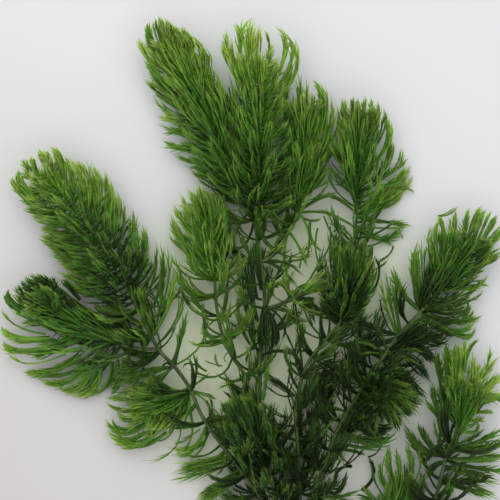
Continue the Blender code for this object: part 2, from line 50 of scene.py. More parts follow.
# Every branch: its route in photo pixels with heights in mm, from foot to tip, then lengths in mm
# stalk: the stem's radius at its foot and tip; nodes: how many whorl solids its loose leaves stand for
# dense: how much of its end is a leafy brush; leftSide, rightSide: (below the tip, half width) of it
# short: how far its plain leaves stay below the tip, where the locks drawn further on stand out
# teeth: how many of the leaves in those locks are toothed; longest: its longest brush leaves
# bend: how many degrees they bend; thinBelow: how far below the tip its brush grows thin
# age, oldRoot: its leaves' age, and how much older they get down the brush
# open: where the loose whorls sit; leaf: how long their leaves are; sparse: where they are few
# openLeaves, openAge: how many leaves they have and how old, at the foot and where the brush begins
# fine, blades: how thick those leaves are, and how many are flat; tint: lower is more blue-green
branches = {
    "main": {
        "route": [(290, 590, 1.4), (287, 560, 3), (280, 520, 5), (272, 480, 6), (264, 440, 6.5),
                  (258, 405, 7), (260, 385, 7), (260, 356, 7), (265, 308, 7), (261, 262, 7), (255, 225, 7),
                  (246, 196, 8), (225, 150, 9.5), (185, 75, 10.5), (160, 21, 10.5)],
        "stalk": (1.25, 0.95), "dense": 79, "short": 1, "leaf": 20, "longest": 25, "nodes": 8,
        "leftSide": [(0, 6), (4, 11), (13, 14), (20, 15), (32, 15), (44, 18), (53, 18), (79, 20)],
        "rightSide": [(0, 4), (6, 8), (15, 11), (22, 11), (29, 12), (32, 14), (45, 17), (79, 20)],
        "open": [8, 17, 26, 34, 41, 47, 53, 58, 63, 70, 79, 88, 97, 105, 114.5, 124, 133, 142, 150, 157],
        "sparse": (84, 102),
        "openAge": (1.0, 0.5), "openLeaves": (18, 13), "fine": 0.85,
        "age": 0.16, "oldRoot": 0.2, "tint": 0.6},
    "upper_middle": {
        "route": [(261, 262, 7), (273, 255, 7.5), (288, 233, 8), (297, 212, 8.5), (303, 160, 9),
                  (306, 118, 9.5), (308, 70, 9.5)],
        "stalk": (0.95, 0.8), "dense": 58, "short": 7, "leaf": 16, "nodes": 1,
        "leftSide": [(0, 3), (8, 8), (20, 11), (58, 14)],
        "rightSide": [(0, 2), (5, 4.5), (11, 8), (20, 12), (58, 18)],
        "open": [8, 14, 20], "openAge": (0.45, 0.4), "openLeaves": (8, 8),
        "age": 0.32, "tint": 0.55},
    "second": {
        "route": [(284, 545, 4), (291, 541, 4.5), (297, 527, 5), (300, 500, 6), (298, 442, 7),
                  (296, 411, 7), (303, 375, 7), (314, 355, 6.5), (328, 338, 6), (343, 318, 5),
                  (352, 280, 4.5), (356, 240, 5), (358, 191, 7), (358, 150, 9.5), (363, 97, 11)],
        "stalk": (1.15, 0.85), "dense": 66, "short": 0.5, "teeth": 0.2, "leaf": 21, "longest": 24,
        "thinBelow": 42, "nodes": 6,
        "leftSide": [(0, 5), (2, 8.6), (8, 12), (20, 14), (40, 16), (66, 18)],
        "rightSide": [(0, 4), (4, 9), (11, 11), (16, 13), (20, 16), (24, 18), (30, 20), (38, 20), (66, 20)],
        "open": [8, 15, 23, 31, 38, 44, 50, 56, 62, 70, 79, 88, 98, 108, 117],
        "openAge": (1.0, 0.6), "openLeaves": (17, 14), "fine": 0.8, "blades": 0.2,
        "age": 0.38, "tint": 0.4},
    "left": {
        "route": [(281, 525, 5), (271, 520, 5.5), (260, 497, 6.5), (240, 470, 7), (204, 420, 7.5),
                  (190, 389, 8), (173, 365, 8), (158, 349, 8), (140, 313, 8.5), (124, 284, 9),
                  (92, 233, 10.5), (62, 194, 11), (30, 158, 11)],
        "stalk": (1.15, 0.95), "dense": 72, "short": 0.5, "teeth": 0.25, "leaf": 23, "longest": 20.5,
        "bend": 21, "nodes": 5,
        "leftSide": [(0, 8), (2, 10), (11, 16), (16, 17.6), (27, 17.5), (45, 20), (72, 22)],
        "rightSide": [(0, 7), (5, 10.5), (10, 12.5), (18, 16), (24, 17), (41, 18), (60, 20), (72, 21)],
        "open": [9, 17, 25, 33, 41, 52, 66, 86, 93, 99, 105], "openAge": (0.8, 0.6), "openLeaves": (13, 14),
        "age": 0.26, "oldRoot": 0.4, "tint": 0.5},
    "low_left": {
        "route": [(158, 349, 8), (138, 349, 8.5), (112, 341, 9), (80, 325, 9.5), (48, 302, 9.5),
                  (20, 283, 9.5)],
        "stalk": (0.95, 0.85), "dense": 49, "short": 1, "teeth": 0.3, "leaf": 22, "longest": 29, "nodes": 1,
        "leftSide": [(0, 8), (2, 13), (7, 18), (16, 23), (21, 25), (38, 25), (49, 23)],
        "rightSide": [(0, 4), (2, 5.5), (9, 8), (16, 9), (49, 14)],
        "open": [6, 11], "openAge": (0.6, 0.5), "openLeaves": (9, 9),
        "age": 0.45, "tint": 0.45},
    "centre_left": {
        "route": [(258, 398, 7), (250, 391, 8), (244, 374, 8.5), (233, 357, 9), (223, 336, 9),
                  (217, 310, 9), (214, 275, 9.5), (209, 235, 10), (200, 200, 10), (196, 181, 10)],
        "stalk": (1.0, 0.8), "dense": 40, "short": 1.5, "leaf": 21, "nodes": 4,
        "leftSide": [(0, 5), (2, 7), (7, 11), (12, 13), (20, 14), (40, 16)],
        "rightSide": [(0, 4), (5, 8), (11, 10), (18, 10.5), (40, 15)],
        "open": [10, 19, 27, 36, 45, 52], "openAge": (0.5, 0.4), "openLeaves": (12, 12),
        "age": 0.3, "tint": 0.6},
    "side": {
        "route": [(265, 309, 7), (280, 304, 8.5), (298, 295, 10), (314, 283, 12), (326, 268, 13)],
        "stalk": (0.85, 0.7), "dense": 14, "leaf": 14, "nodes": 0,
        "leftSide": [(0, 4), (14, 10)],
        "rightSide": [(0, 4), (14, 9)],
        "open": [8, 13], "openAge": (0.3, 0.3), "openLeaves": (7, 7),
        "age": 0.3, "tint": 0.6},
    "right": {
        "route": [(300, 508, 6), (308, 503, 6.5), (317, 486, 7), (327, 462, 8), (332, 442, 8.5),
                  (346, 414, 9), (365, 385, 9.5), (387, 351, 10), (398, 335, 10), (422, 310, 10),
                  (440, 290, 10), (458, 262, 10.5), (474, 236, 11), (489, 207, 11)],
        "stalk": (1.1, 0.9), "dense": 50, "short": 6, "teeth": 0.5, "leaf": 22, "longest": 24, "nodes": 5,
        "leftSide": [(0, 6), (7, 12), (14, 15), (23, 15), (31, 16), (50, 19)],
        "rightSide": [(0, 5), (3, 8), (26, 15), (38, 18), (50, 20)],
        "open": [10, 18, 27, 34, 39, 44, 48, 52, 56, 60, 64, 69, 74, 80, 87, 94],
        # the loose whorls here are aged to the darkest colour: partly old wet leaves, partly painted shade
        # in the deep tangle
        "openAge": (1.1, 1.0), "openLeaves": (24, 22), "fine": 0.62, "blades": 0.1,
        "age": 0.55, "tint": 0.5},
    "low_right": {
        "route": [(289, 572, 2.5), (320, 566, 4), (365, 554, 5.5), (405, 536, 7), (430, 512, 8),
                  (440, 482, 9), (446, 455, 9.5), (457, 430, 10), (461, 395, 10.5), (465, 339, 11)],
        "stalk": (1.1, 0.9), "dense": 40, "short": 9, "teeth": 0.6, "leaf": 21, "nodes": 4,
        "leftSide": [(0, 5), (2, 8), (19, 11), (30, 12.5), (40, 15)],
        "rightSide": [(0, 3), (2, 6), (8, 8), (20, 12), (40, 14)],
        "open": [12, 24, 34, 44, 52, 60, 68, 77, 86, 92], "openAge": (1.0, 0.8), "openLeaves": (13, 12),
        "age": 0.42, "tint": 0.6},
    "top_centre": {
        "route": [(254, 222, 7), (257, 217, 10), (259, 200, 12.5), (260, 170, 13.5), (259, 120, 14),
                  (257, 65, 13), (256, 24, 12.5)],
        "stalk": (0.85, 0.7), "dense": 86, "short": 7, "leaf": 0, "nodes": 0,
        "leftSide": [(0, 6), (4, 12.5), (10, 11), (20, 11), (40, 15), (80, 20)],
        "rightSide": [(0, 5), (3, 9), (5, 13), (12, 13.5), (18, 15), (23, 18), (80, 20)],
        "open": [], "age": 0.2, "oldRoot": 0.35, "tint": 0.7},
    "short_left": {
        "route": [(192, 392, 8), (178, 398, 9), (150, 406, 9.5), (125, 410, 9.5), (104, 410, 9)],
        "stalk": (0.85, 0.7), "dense": 38, "short": 3, "teeth": 0.6, "leaf": 0, "nodes": 0,
        "leftSide": [(0, 5), (2, 9), (8, 13), (14, 16), (36, 17)],
        "rightSide": [(0, 4), (2, 9), (12, 12.5), (36, 12)],
        "open": [], "age": 0.35, "tint": 0.55},
    "bottom_centre": {
        "route": [(270, 470, 6), (265, 463, 9.5), (258, 446, 14), (248, 422, 17), (239, 400, 17),
                  (236, 386, 16)],
        "stalk": (0.85, 0.7), "dense": 44, "leaf": 0, "nodes": 0,
        "leftSide": [(0, 5), (4, 8), (15, 9.5), (44, 12)],
        "rightSide": [(0, 5), (4, 8), (15, 9.5), (44, 12)],
        "open": [], "age": 0.85, "tint": 0.35},
    "centre_right": {
        "route": [(342, 319, 5), (343, 314, 9), (346, 303, 13), (350, 284, 16), (351, 262, 17),
                  (350, 240, 16)],
        "stalk": (0.85, 0.7), "dense": 44, "leaf": 0, "nodes": 0,
        "leftSide": [(0, 5), (9, 11), (37, 13.5)],
        "rightSide": [(0, 5), (9, 10.5), (37, 13.5)],
        "open": [], "age": 0.75, "tint": 0.4},
    # dark_right: aged past the darkest colour, so painted near black: partly old wet leaves, partly painted
    # shade under the tangle
    "dark_right": {
        "route": [(361, 391, 9.5), (371, 393, 14), (385, 396, 18), (400, 392, 19), (410, 386, 18)],
        "stalk": (0.85, 0.7), "dense": 34, "leaf": 0, "nodes": 0,
        "leftSide": [(0, 7), (6, 13), (24, 18)],
        "rightSide": [(0, 7), (6, 14), (24, 20)],
        "open": [], "age": 1.3, "tint": 0.6},
    "small_right": {
        "route": [(385, 545, 6), (388, 535, 8), (395, 518, 9), (399, 495, 9.5), (400, 472, 9.5),
                  (400, 447, 9)],
        "stalk": (0.85, 0.7), "dense": 44, "short": 5, "teeth": 0.5, "leaf": 0, "nodes": 0,
        "leftSide": [(0, 4), (6, 8), (40, 14)],
        "rightSide": [(0, 4), (6, 8), (40, 14)],
        "open": [], "age": 0.5, "tint": 0.45},
}

# Locks that stand out in the photograph, drawn one by one, in pixels
# root x, y, middle x, y, tip x, y, how many leaves, age, how far in mm the middle lies above the stem
locks = {
    "main": [
        (168, 88, 146, 56, 139, 38, 6, 0.03, -1), (166, 72, 150, 47, 147, 31, 3, 0.18, 0),
        (168, 62, 153, 40, 150, 21, 6, 0.33, 1), (166, 60, 158, 35, 155, 19, 7, 0.38, 2),
        (168, 58, 163, 35, 159, 17, 8, 0.33, 2), (172, 60, 172, 38, 164, 18, 8, 0.23, 2),
        (176, 66, 182, 42, 171, 26, 7, 0.18, 1), (180, 76, 193, 48, 178, 28, 8, 0.13, 1),
        (184, 86, 202, 56, 187, 33, 8, 0.13, 0), (190, 100, 208, 66, 197, 44, 8, 0.23, 0),
        (196, 112, 209, 80, 204, 56, 7, 0.33, 0), (178, 98, 158, 78, 144, 60, 4, 0.28, -1),
        (180, 103, 162, 84, 147, 66, 4, 0.33, -1), (184, 108, 165, 90, 147, 71, 3, 0.38, -1),
        (187, 112, 163, 92, 142, 78, 7, 0.23, -1), (190, 116, 166, 100, 149, 85, 4, 0.28, -2),
        (192, 120, 168, 110, 152, 93, 4, 0.38, -2), (202, 128, 178, 121, 154, 115, 6, 0.23, -2),
        (204, 134, 180, 131, 154, 122, 4, 0.4, -2), (200, 128, 180, 122, 162, 112, 3, 0.23, -1),
        (214, 148, 188, 134, 161, 134, 3, 0.5, -2), (216, 152, 188, 150, 161, 140, 4, 0.5, -2),
        (218, 158, 190, 148, 158, 147, 6, 0.35, -2), (220, 164, 196, 162, 169, 151, 5, 0.45, -3),
        (222, 168, 203, 168, 184, 164, 4, 0.4, -3), (224, 170, 208, 173, 196, 167, 5, 0.45, -3),
        (222, 128, 213, 98, 211, 67, 4, 0.28, 0), (224, 128, 221, 98, 217, 68, 4, 0.28, 0),
        (226, 128, 225, 105, 222, 75, 4, 0.28, 0), (216, 120, 208, 94, 205, 71, 4, 0.28, 0),
        (266, 307, 283, 322, 282, 342, 9, 1, 2), (263, 309, 261, 332, 263, 354, 9, 1, 2),
        (267, 309, 274, 332, 270, 352, 9, 1, 2), (264, 309, 268, 330, 266, 351, 8, 1, 3),
        (263, 262, 276, 252, 292, 262, 3, 0.7, 1), (262, 262, 280, 268, 300, 292, 3, 0.8, 1),
        (262, 264, 272, 278, 278, 272, 2, 0.8, 1), (264, 262, 284, 262, 306, 278, 2, 0.6, 2),
        (262, 300, 250, 290, 246, 262, 5, 0.8, 1), (256, 336, 246, 304, 240, 264, 9, 0.85, 2),
        (258, 322, 250, 292, 244, 256, 8, 0.85, 2), (258, 300, 252, 270, 252, 240, 7, 0.8, 2),
        (254, 350, 240, 322, 238, 288, 7, 0.7, 1), (262, 290, 256, 262, 256, 236, 5, 0.7, 2),
        (262, 340, 250, 352, 246, 366, 2, 0.7, 0), (250, 210, 236, 232, 234, 252, 3, 0.6, 0),
        (254, 222, 244, 246, 230, 244, 2, 0.6, 1), (262, 355, 282, 352, 300, 358, 4, 0.8, 0),
        (262, 400, 266, 380, 268, 360, 4, 0.35, 1), (264, 430, 258, 400, 262, 372, 5, 0.3, 0),
        (258, 410, 250, 395, 242, 372, 3, 0.5, 0), (266, 308, 280, 310, 292, 314, 4, 0.7, 1),
        (264, 262, 290, 262, 314, 256, 3, 0.5, 0),
    ],
    "top_centre": [
        (246, 96, 231, 64, 223, 40, 7, 0.1, -1), (244, 92, 229, 55, 227, 31, 3, 0.1, -1),
        (247, 88, 236, 62, 231, 37, 4, 0.15, -1), (250, 84, 243, 42, 232, 27, 4, 0.1, 1),
        (252, 82, 240, 46, 251, 20, 4, 0.1, 1), (254, 78, 251, 45, 254, 19, 8, 0, 1),
        (258, 80, 258, 48, 260, 25, 8, 0, 1), (262, 80, 270, 50, 263, 30, 4, 0.1, 0),
        (264, 86, 268, 62, 272, 43, 6, 0.05, 0), (268, 94, 286, 50, 274, 27, 5, 0.1, -1),
        (270, 98, 292, 56, 280, 31, 5, 0.1, -1), (272, 104, 297, 70, 286, 34, 6, 0.1, -1),
        (270, 110, 286, 84, 291, 58, 8, 0.2, -1), (268, 116, 284, 96, 284, 70, 6, 0.3, -2),
        (250, 140, 238, 108, 228, 70, 6, 0.35, -1), (252, 150, 238, 122, 232, 96, 6, 0.4, -1),
        (268, 150, 276, 122, 278, 96, 6, 0.4, 0), (258, 150, 256, 120, 252, 92, 6, 0.3, 1),
        (262, 170, 268, 140, 264, 108, 6, 0.4, 1), (252, 182, 238, 158, 228, 130, 6, 0.5, 0),
        (248, 92, 241, 68, 238, 46, 6, 0.15, 0),
    ],
    "upper_middle": [
        (296, 140, 301, 106, 296, 66, 5, 0.3, 0), (290, 130, 287, 100, 290, 73, 3, 0.35, 0),
        (304, 140, 306, 108, 306, 77, 6, 0.3, 0), (312, 150, 325, 108, 313, 79, 9, 0.3, 0),
        (318, 156, 327, 122, 323, 92, 6, 0.3, 0), (318, 160, 331, 128, 331, 95, 6, 0.3, 0),
        (312, 160, 336, 132, 336, 104, 5, 0.4, -1), (302, 150, 296, 122, 293, 92, 5, 0.3, 0),
        (302, 140, 300, 116, 302, 84, 5, 0.3, 0), (308, 160, 312, 128, 310, 96, 6, 0.4, 1),
        (296, 214, 318, 200, 341, 192, 6, 0.5, -1), (298, 213, 318, 212, 340, 216, 4, 0.4, -1),
        (298, 214, 310, 220, 322, 218, 3, 0.5, -1), (299, 213, 308, 236, 304, 262, 3, 0.3, -1),
        (296, 214, 282, 232, 272, 252, 3, 0.4, -1), (289, 232, 300, 248, 308, 268, 2, 0.3, 0),
        (288, 234, 284, 252, 286, 274, 3, 0.3, 0), (288, 233, 276, 248, 264, 252, 3, 0.4, 0),
        (310, 220, 312, 240, 324, 252, 2, 0.35, -2), (324, 216, 332, 232, 342, 250, 2, 0.35, -2),
        (300, 268, 306, 250, 318, 240, 2, 0.3, -1), (318, 228, 316, 250, 322, 268, 3, 0.3, -1),
        (330, 226, 328, 246, 318, 262, 3, 0.4, -1), (334, 232, 344, 226, 346, 240, 2, 0.4, -1),
    ],
    "second": [
        (352, 140, 345, 115, 346, 98, 5, 0.4, 0), (356, 135, 352, 112, 353, 96, 5, 0.4, 1),
        (358, 135, 358, 112, 358, 98, 5, 0.4, 1), (362, 135, 364, 114, 364, 94, 6, 0.3, 1),
        (366, 140, 370, 116, 371, 98, 5, 0.3, 0), (368, 145, 377, 120, 377, 100, 6, 0.35, 0),
        (370, 155, 384, 128, 383, 106, 6, 0.3, -1), (372, 165, 388, 140, 385, 113, 8, 0.25, -1),
        (374, 180, 391, 158, 391, 138, 7, 0.3, -2), (376, 180, 399, 168, 404, 145, 4, 0.25, -2),
        (376, 182, 396, 170, 410, 156, 4, 0.2, -2), (384, 186, 400, 180, 406, 166, 3, 0.3, -2),
        (364, 208, 394, 188, 414, 165, 9, 0.15, -3), (364, 210, 396, 194, 416, 173, 9, 0.15, -3),
        (362, 213, 388, 206, 407, 190, 9, 0.25, -3), (370, 206, 402, 188, 417, 194, 4, 0.3, -3),
        (358, 214, 376, 210, 394, 202, 8, 0.5, -3), (357, 216, 380, 222, 409, 219, 3, 0.45, -2),
        (357, 216, 388, 222, 415, 226, 4, 0.4, -2), (357, 226, 386, 228, 412, 227, 3, 0.25, -2),
        (357, 227, 384, 240, 406, 229, 2, 0.3, -2), (357, 228, 378, 235, 397, 248, 3, 0.35, -2),
        (394, 246, 390, 256, 378, 263, 1, 0.5, -3), (400, 229, 404, 234, 406, 239, 1, 0.4, -3),
        (356, 212, 340, 200, 326, 194, 7, 0.5, -1), (356, 214, 350, 192, 332, 184, 6, 0.6, 0),
        (356, 228, 338, 216, 316, 208, 6, 0.4, -1), (354, 240, 344, 226, 328, 222, 5, 0.4, -1),
        (358, 206, 350, 178, 338, 158, 5, 0.5, 1), (360, 206, 362, 180, 360, 160, 5, 0.6, 2),
        (360, 210, 380, 196, 396, 180, 8, 0.35, -1), (356, 206, 342, 180, 322, 168, 5, 0.5, 0),
        (374, 292, 380, 272, 374, 254, 6, 0.9, 1), (362, 270, 370, 258, 372, 240, 5, 0.5, 2),
        (294, 395, 281, 384, 266, 372, 7, 1, 1), (294, 396, 278, 394, 264, 382, 6, 0.8, 1),
        (296, 393, 290, 386, 287, 376, 3, 0.9, 2), (296, 413, 293, 400, 290, 390, 3, 0.6, 1),
        (290, 418, 274, 414, 256, 396, 8, 0.5, 0), (288, 420, 278, 430, 262, 410, 4, 0.6, 0),
        (302, 375, 294, 350, 284, 330, 5, 0.8, 0), (303, 374, 298, 360, 284, 344, 5, 0.8, 1),
        (314, 356, 304, 338, 302, 318, 4, 0.7, 1), (315, 355, 322, 340, 318, 322, 4, 0.8, 1),
        (328, 338, 312, 336, 296, 322, 4, 0.7, 1), (328, 338, 330, 318, 324, 300, 4, 0.8, 1),
        (344, 320, 330, 300, 322, 276, 6, 0.8, 0), (344, 320, 332, 312, 318, 296, 5, 0.8, 0),
        (303, 372, 322, 366, 338, 356, 6, 0.9, 0), (303, 373, 320, 376, 340, 372, 6, 0.9, 0),
        (328, 340, 346, 346, 360, 338, 5, 0.9, 0), (300, 400, 312, 398, 326, 402, 5, 0.9, 0),
        (303, 375, 296, 366, 288, 362, 4, 0.8, 0), (314, 356, 306, 350, 300, 354, 4, 0.8, 0),
        (303, 374, 300, 350, 297, 334, 4, 0.8, 0), (300, 392, 292, 376, 290, 364, 4, 0.8, 0),
    ],
    "left": [
        (48, 218, 20, 192, 12, 176, 8, 0.1, -1), (46, 208, 24, 184, 20, 168, 7, 0.1, 0),
        (48, 200, 30, 172, 24, 159, 6, 0.15, 0), (50, 196, 36, 170, 33, 156, 6, 0.1, 1),
        (54, 192, 46, 164, 39, 149, 7, 0.05, 1), (58, 190, 52, 164, 46, 149, 7, 0.05, 1),
        (64, 192, 62, 164, 50, 147, 9, 0.05, 1), (72, 200, 72, 172, 64, 155, 5, 0.15, 0),
        (80, 208, 82, 178, 69, 155, 9, 0.1, 0), (88, 212, 88, 184, 76, 158, 8, 0.15, 0),
        (94, 216, 94, 188, 87, 159, 4, 0.2, -1), (98, 220, 100, 188, 92, 161, 9, 0.15, -1),
        (104, 224, 107, 196, 105, 169, 4, 0.2, -1), (108, 228, 111, 202, 109, 176, 9, 0.15, -1),
        (114, 240, 118, 214, 116, 188, 8, 0.2, -1), (118, 248, 124, 224, 124, 200, 6, 0.3, -1),
        (126, 266, 132, 238, 132, 206, 7, 0.45, -1), (132, 274, 137, 252, 137, 228, 4, 0.4, -1),
        (138, 282, 145, 252, 143, 224, 7, 0.4, -1), (140, 284, 149, 258, 146, 224, 4, 0.4, -1),
        (146, 298, 155, 272, 156, 240, 3, 0.5, -1), (152, 308, 162, 276, 159, 241, 4, 0.5, -1),
        (156, 322, 167, 282, 166, 243, 10, 0.4, -1), (156, 346, 176, 318, 182, 286, 9, 0.5, 1),
        (150, 338, 168, 306, 174, 268, 6, 0.5, 1), (174, 366, 203, 340, 202, 300, 7, 0.4, 1),
        (174, 365, 180, 340, 188, 309, 2, 0.5, 1), (172, 362, 178, 345, 176, 332, 3, 0.5, 1),
        (158, 350, 170, 338, 176, 320, 3, 0.5, 0), (172, 367, 142, 374, 108, 388, 10, 0.5, -1),
        (172, 368, 144, 384, 104, 399, 8, 0.5, -1), (170, 369, 146, 392, 104, 403, 6, 0.5, -2),
        (158, 352, 140, 362, 122, 378, 7, 0.6, -2), (158, 352, 146, 356, 128, 356, 5, 0.6, -1),
        (170, 366, 166, 362, 162, 367, 4, 0.9, 2), (190, 388, 202, 380, 211, 373, 3, 0.4, 0),
        (190, 388, 192, 380, 191, 371, 3, 0.4, 1), (190, 390, 204, 396, 218, 399, 4, 0.4, 0),
        (191, 392, 206, 402, 210, 416, 3, 0.4, 0), (190, 391, 168, 402, 140, 400, 6, 0.5, 0),
        (190, 392, 176, 412, 152, 420, 8, 0.4, -1), (196, 404, 182, 420, 152, 434, 8, 0.4, -2),
        (189, 388, 168, 394, 152, 386, 4, 0.5, 0), (189, 392, 180, 406, 182, 420, 4, 0.5, 0),
        (178, 400, 176, 448, 139, 463, 7, 0.35, -3), (190, 410, 190, 444, 168, 459, 6, 0.35, -3),
        (176, 424, 164, 442, 150, 441, 3, 0.4, -4), (190, 436, 182, 444, 172, 446, 3, 0.4, -4),
        (206, 422, 204, 446, 186, 464, 5, 0.4, -3), (210, 430, 196, 448, 170, 452, 4, 0.4, -4),
        (206, 428, 192, 452, 176, 458, 5, 0.35, -4), (228, 446, 208, 464, 167, 466, 9, 0.35, -4),
        (234, 458, 208, 466, 166, 477, 9, 0.35, -4), (236, 462, 208, 474, 167, 484, 10, 0.35, -4),
        (240, 470, 214, 486, 196, 500, 9, 0.5, -4), (242, 474, 222, 490, 190, 508, 9, 0.5, -4),
        (204, 422, 220, 432, 226, 446, 5, 0.6, 0), (206, 420, 218, 418, 230, 428, 4, 0.6, 0),
        (226, 450, 224, 466, 214, 478, 3, 0.5, -1), (214, 432, 222, 420, 220, 404, 3, 0.6, 0),
        (54, 197, 32, 191, 13, 184, 8, 0.2, -1), (66, 214, 40, 207, 18, 200, 8, 0.25, -1),
        (76, 228, 50, 222, 29, 215, 7, 0.3, -1), (82, 238, 58, 232, 38, 227, 7, 0.35, -1),
        (88, 250, 60, 243, 36, 235, 8, 0.3, -2), (92, 262, 64, 252, 39, 240, 8, 0.3, -2),
        (98, 272, 72, 261, 46, 250, 8, 0.35, -2), (104, 284, 80, 272, 56, 260, 8, 0.35, -2),
        (108, 292, 82, 282, 55, 271, 8, 0.35, -2), (112, 300, 84, 292, 56, 280, 8, 0.4, -2),
        (56, 204, 40, 186, 29, 172, 7, 0.1, 1), (62, 206, 48, 184, 42, 164, 7, 0.1, 1),
        (52, 190, 34, 178, 17, 172, 7, 0.1, 0), (86, 244, 62, 236, 40, 231, 7, 0.35, -1),
        (94, 266, 70, 256, 50, 246, 7, 0.4, -1), (100, 280, 76, 268, 52, 258, 7, 0.4, -1),
        (64, 216, 42, 214, 22, 209, 6, 0.25, -1), (70, 222, 50, 218, 31, 213, 6, 0.3, -1),
        (206, 432, 196, 450, 163, 449, 5, 0.4, -4), (200, 430, 190, 438, 180, 442, 4, 0.4, -3),
    ],
    "low_left": [
        (46, 316, 12, 306, 8, 288, 8, 0.5, -1), (30, 320, 12, 308, 6, 294, 4, 0.3, -2),
        (46, 334, 12, 326, 0, 308, 6, 0.2, -2), (52, 330, 30, 320, 10, 311, 3, 0.4, -2),
        (50, 338, 14, 337, 0, 326, 10, 0.1, -2), (56, 340, 24, 341, 4, 335, 4, 0.3, -3),
        (56, 346, 14, 350, 2, 340, 7, 0.2, -3), (62, 350, 30, 352, 20, 347, 6, 0.3, -3),
        (66, 354, 26, 364, 6, 350, 9, 0.25, -3), (80, 356, 46, 372, 20, 372, 10, 0.3, -4),
        (84, 362, 58, 376, 24, 370, 6, 0.4, -4), (88, 364, 62, 384, 35, 379, 8, 0.3, -4),
        (94, 362, 76, 388, 53, 389, 9, 0.25, -4), (98, 364, 88, 384, 64, 398, 6, 0.3, -4),
        (102, 364, 92, 390, 69, 399, 8, 0.25, -4), (112, 362, 104, 388, 84, 396, 9, 0.3, -4),
        (118, 360, 112, 382, 98, 392, 9, 0.4, -4), (124, 358, 118, 384, 108, 398, 6, 0.5, -4),
        (92, 344, 72, 360, 50, 366, 8, 0.4, -2), (104, 346, 88, 366, 66, 376, 9, 0.4, -2),
        (116, 348, 104, 370, 86, 384, 9, 0.45, -2), (72, 336, 48, 352, 28, 358, 8, 0.4, -2),
        (130, 350, 122, 372, 108, 386, 7, 0.5, -2), (58, 322, 28, 302, 14, 284, 9, 0.6, 0),
        (62, 322, 34, 296, 21, 280, 9, 0.9, 2), (66, 322, 40, 292, 27, 275, 10, 1, 3),
        (70, 322, 48, 290, 34, 273, 10, 1.1, 3), (74, 324, 54, 292, 41, 275, 10, 1.1, 3),
        (78, 326, 60, 296, 47, 279, 9, 1.1, 2), (82, 328, 66, 302, 54, 285, 9, 1.1, 1),
        (86, 330, 72, 310, 61, 294, 8, 1, 0), (60, 330, 30, 314, 10, 294, 8, 0.45, -1),
        (58, 326, 38, 324, 20, 326, 6, 0.35, -2), (80, 300, 70, 288, 60, 278, 6, 0.7, -1),
    ],
    "centre_left": [
        (208, 256, 182, 238, 170, 209, 8, 0.3, -1), (209, 260, 184, 250, 168, 232, 6, 0.35, -2),
        (208, 250, 187, 226, 173, 203, 8, 0.25, -1), (209, 246, 192, 216, 179, 193, 7, 0.25, 0),
        (210, 240, 200, 208, 187, 188, 8, 0.2, 1), (212, 236, 205, 204, 196, 181, 9, 0.2, 1),
        (214, 240, 212, 208, 204, 189, 7, 0.3, 1), (216, 250, 219, 218, 213, 190, 6, 0.35, 0),
        (216, 262, 225, 228, 221, 196, 6, 0.4, 0), (218, 262, 230, 238, 229, 212, 4, 0.4, -1),
        (213, 277, 186, 275, 168, 248, 8, 0.45, -1), (213, 278, 196, 277, 176, 262, 5, 0.5, -1),
        (214, 294, 188, 288, 175, 253, 7, 0.45, 0), (214, 294, 192, 294, 170, 262, 4, 0.5, 0),
        (217, 316, 192, 310, 180, 282, 6, 0.7, 0), (217, 316, 200, 306, 186, 285, 4, 0.6, 1),
        (223, 336, 206, 334, 204, 314, 6, 0.4, 0), (223, 336, 204, 322, 205, 300, 3, 0.5, 1),
        (217, 314, 236, 304, 249, 280, 6, 0.4, 0), (222, 337, 244, 326, 256, 296, 9, 0.3, 0),
        (233, 358, 252, 346, 260, 314, 8, 0.35, 0), (214, 295, 234, 284, 244, 260, 7, 0.45, 0),
        (214, 276, 232, 266, 240, 244, 6, 0.4, 0), (213, 258, 228, 248, 236, 226, 5, 0.45, 0),
        (232, 358, 216, 376, 184, 367, 6, 0.45, 1), (206, 371, 190, 363, 183, 368, 3, 0.9, 2),
        (219, 367, 216, 360, 215, 352, 2, 0.4, 1), (222, 366, 212, 364, 204, 360, 2, 0.5, 1),
        (207, 371, 198, 364, 193, 353, 2, 0.5, 1), (226, 362, 224, 356, 231, 350, 2, 0.5, 1),
        (222, 340, 208, 344, 206, 333, 1, 0.6, 1), (231, 348, 214, 340, 202, 348, 2, 0.6, 1),
        (248, 374, 234, 381, 216, 390, 2, 0.4, -1), (250, 374, 254, 368, 250, 360, 3, 0.6, 0),
        (233, 356, 232, 344, 224, 340, 2, 0.5, 1), (244, 374, 256, 378, 258, 392, 4, 0.5, -1),
        (226, 340, 208, 342, 194, 346, 3, 0.5, 0), (222, 336, 208, 336, 199, 332, 3, 0.5, 0),
        (218, 318, 212, 322, 208, 326, 3, 0.5, 0),
    ],
    "right": [
        (398, 336, 388, 308, 382, 276, 8, 0.4, -1), (398, 336, 391, 304, 386, 268, 7, 0.4, -1),
        (400, 334, 396, 306, 392, 284, 6, 0.5, -1), (422, 310, 404, 292, 393, 263, 8, 0.4, -1),
        (421, 311, 402, 294, 390, 268, 4, 0.4, -1), (420, 309, 413, 280, 412, 252, 7, 0.5, -1),
        (422, 306, 417, 274, 416, 244, 6, 0.5, -1), (424, 300, 421, 268, 421, 238, 9, 0.4, 0),
        (424, 282, 424, 262, 427, 244, 3, 0.5, 0), (440, 286, 432, 264, 429, 238, 8, 0.35, 0),
        (441, 280, 436, 256, 431, 239, 6, 0.35, 0), (446, 276, 434, 244, 439, 217, 9, 0.3, 0),
        (446, 250, 442, 226, 437, 216, 4, 0.3, 1), (437, 216, 448, 214, 458, 206, 4, 0.2, 1),
        (454, 256, 453, 230, 456, 206, 7, 0.3, 0), (462, 252, 464, 228, 469, 208, 5, 0.3, 0),
        (466, 252, 472, 226, 482, 204, 6, 0.25, 0), (472, 248, 478, 222, 486, 208, 5, 0.25, 0),
        (474, 246, 484, 224, 490, 209, 6, 0.25, 0), (478, 246, 490, 226, 498, 214, 7, 0.25, -1),
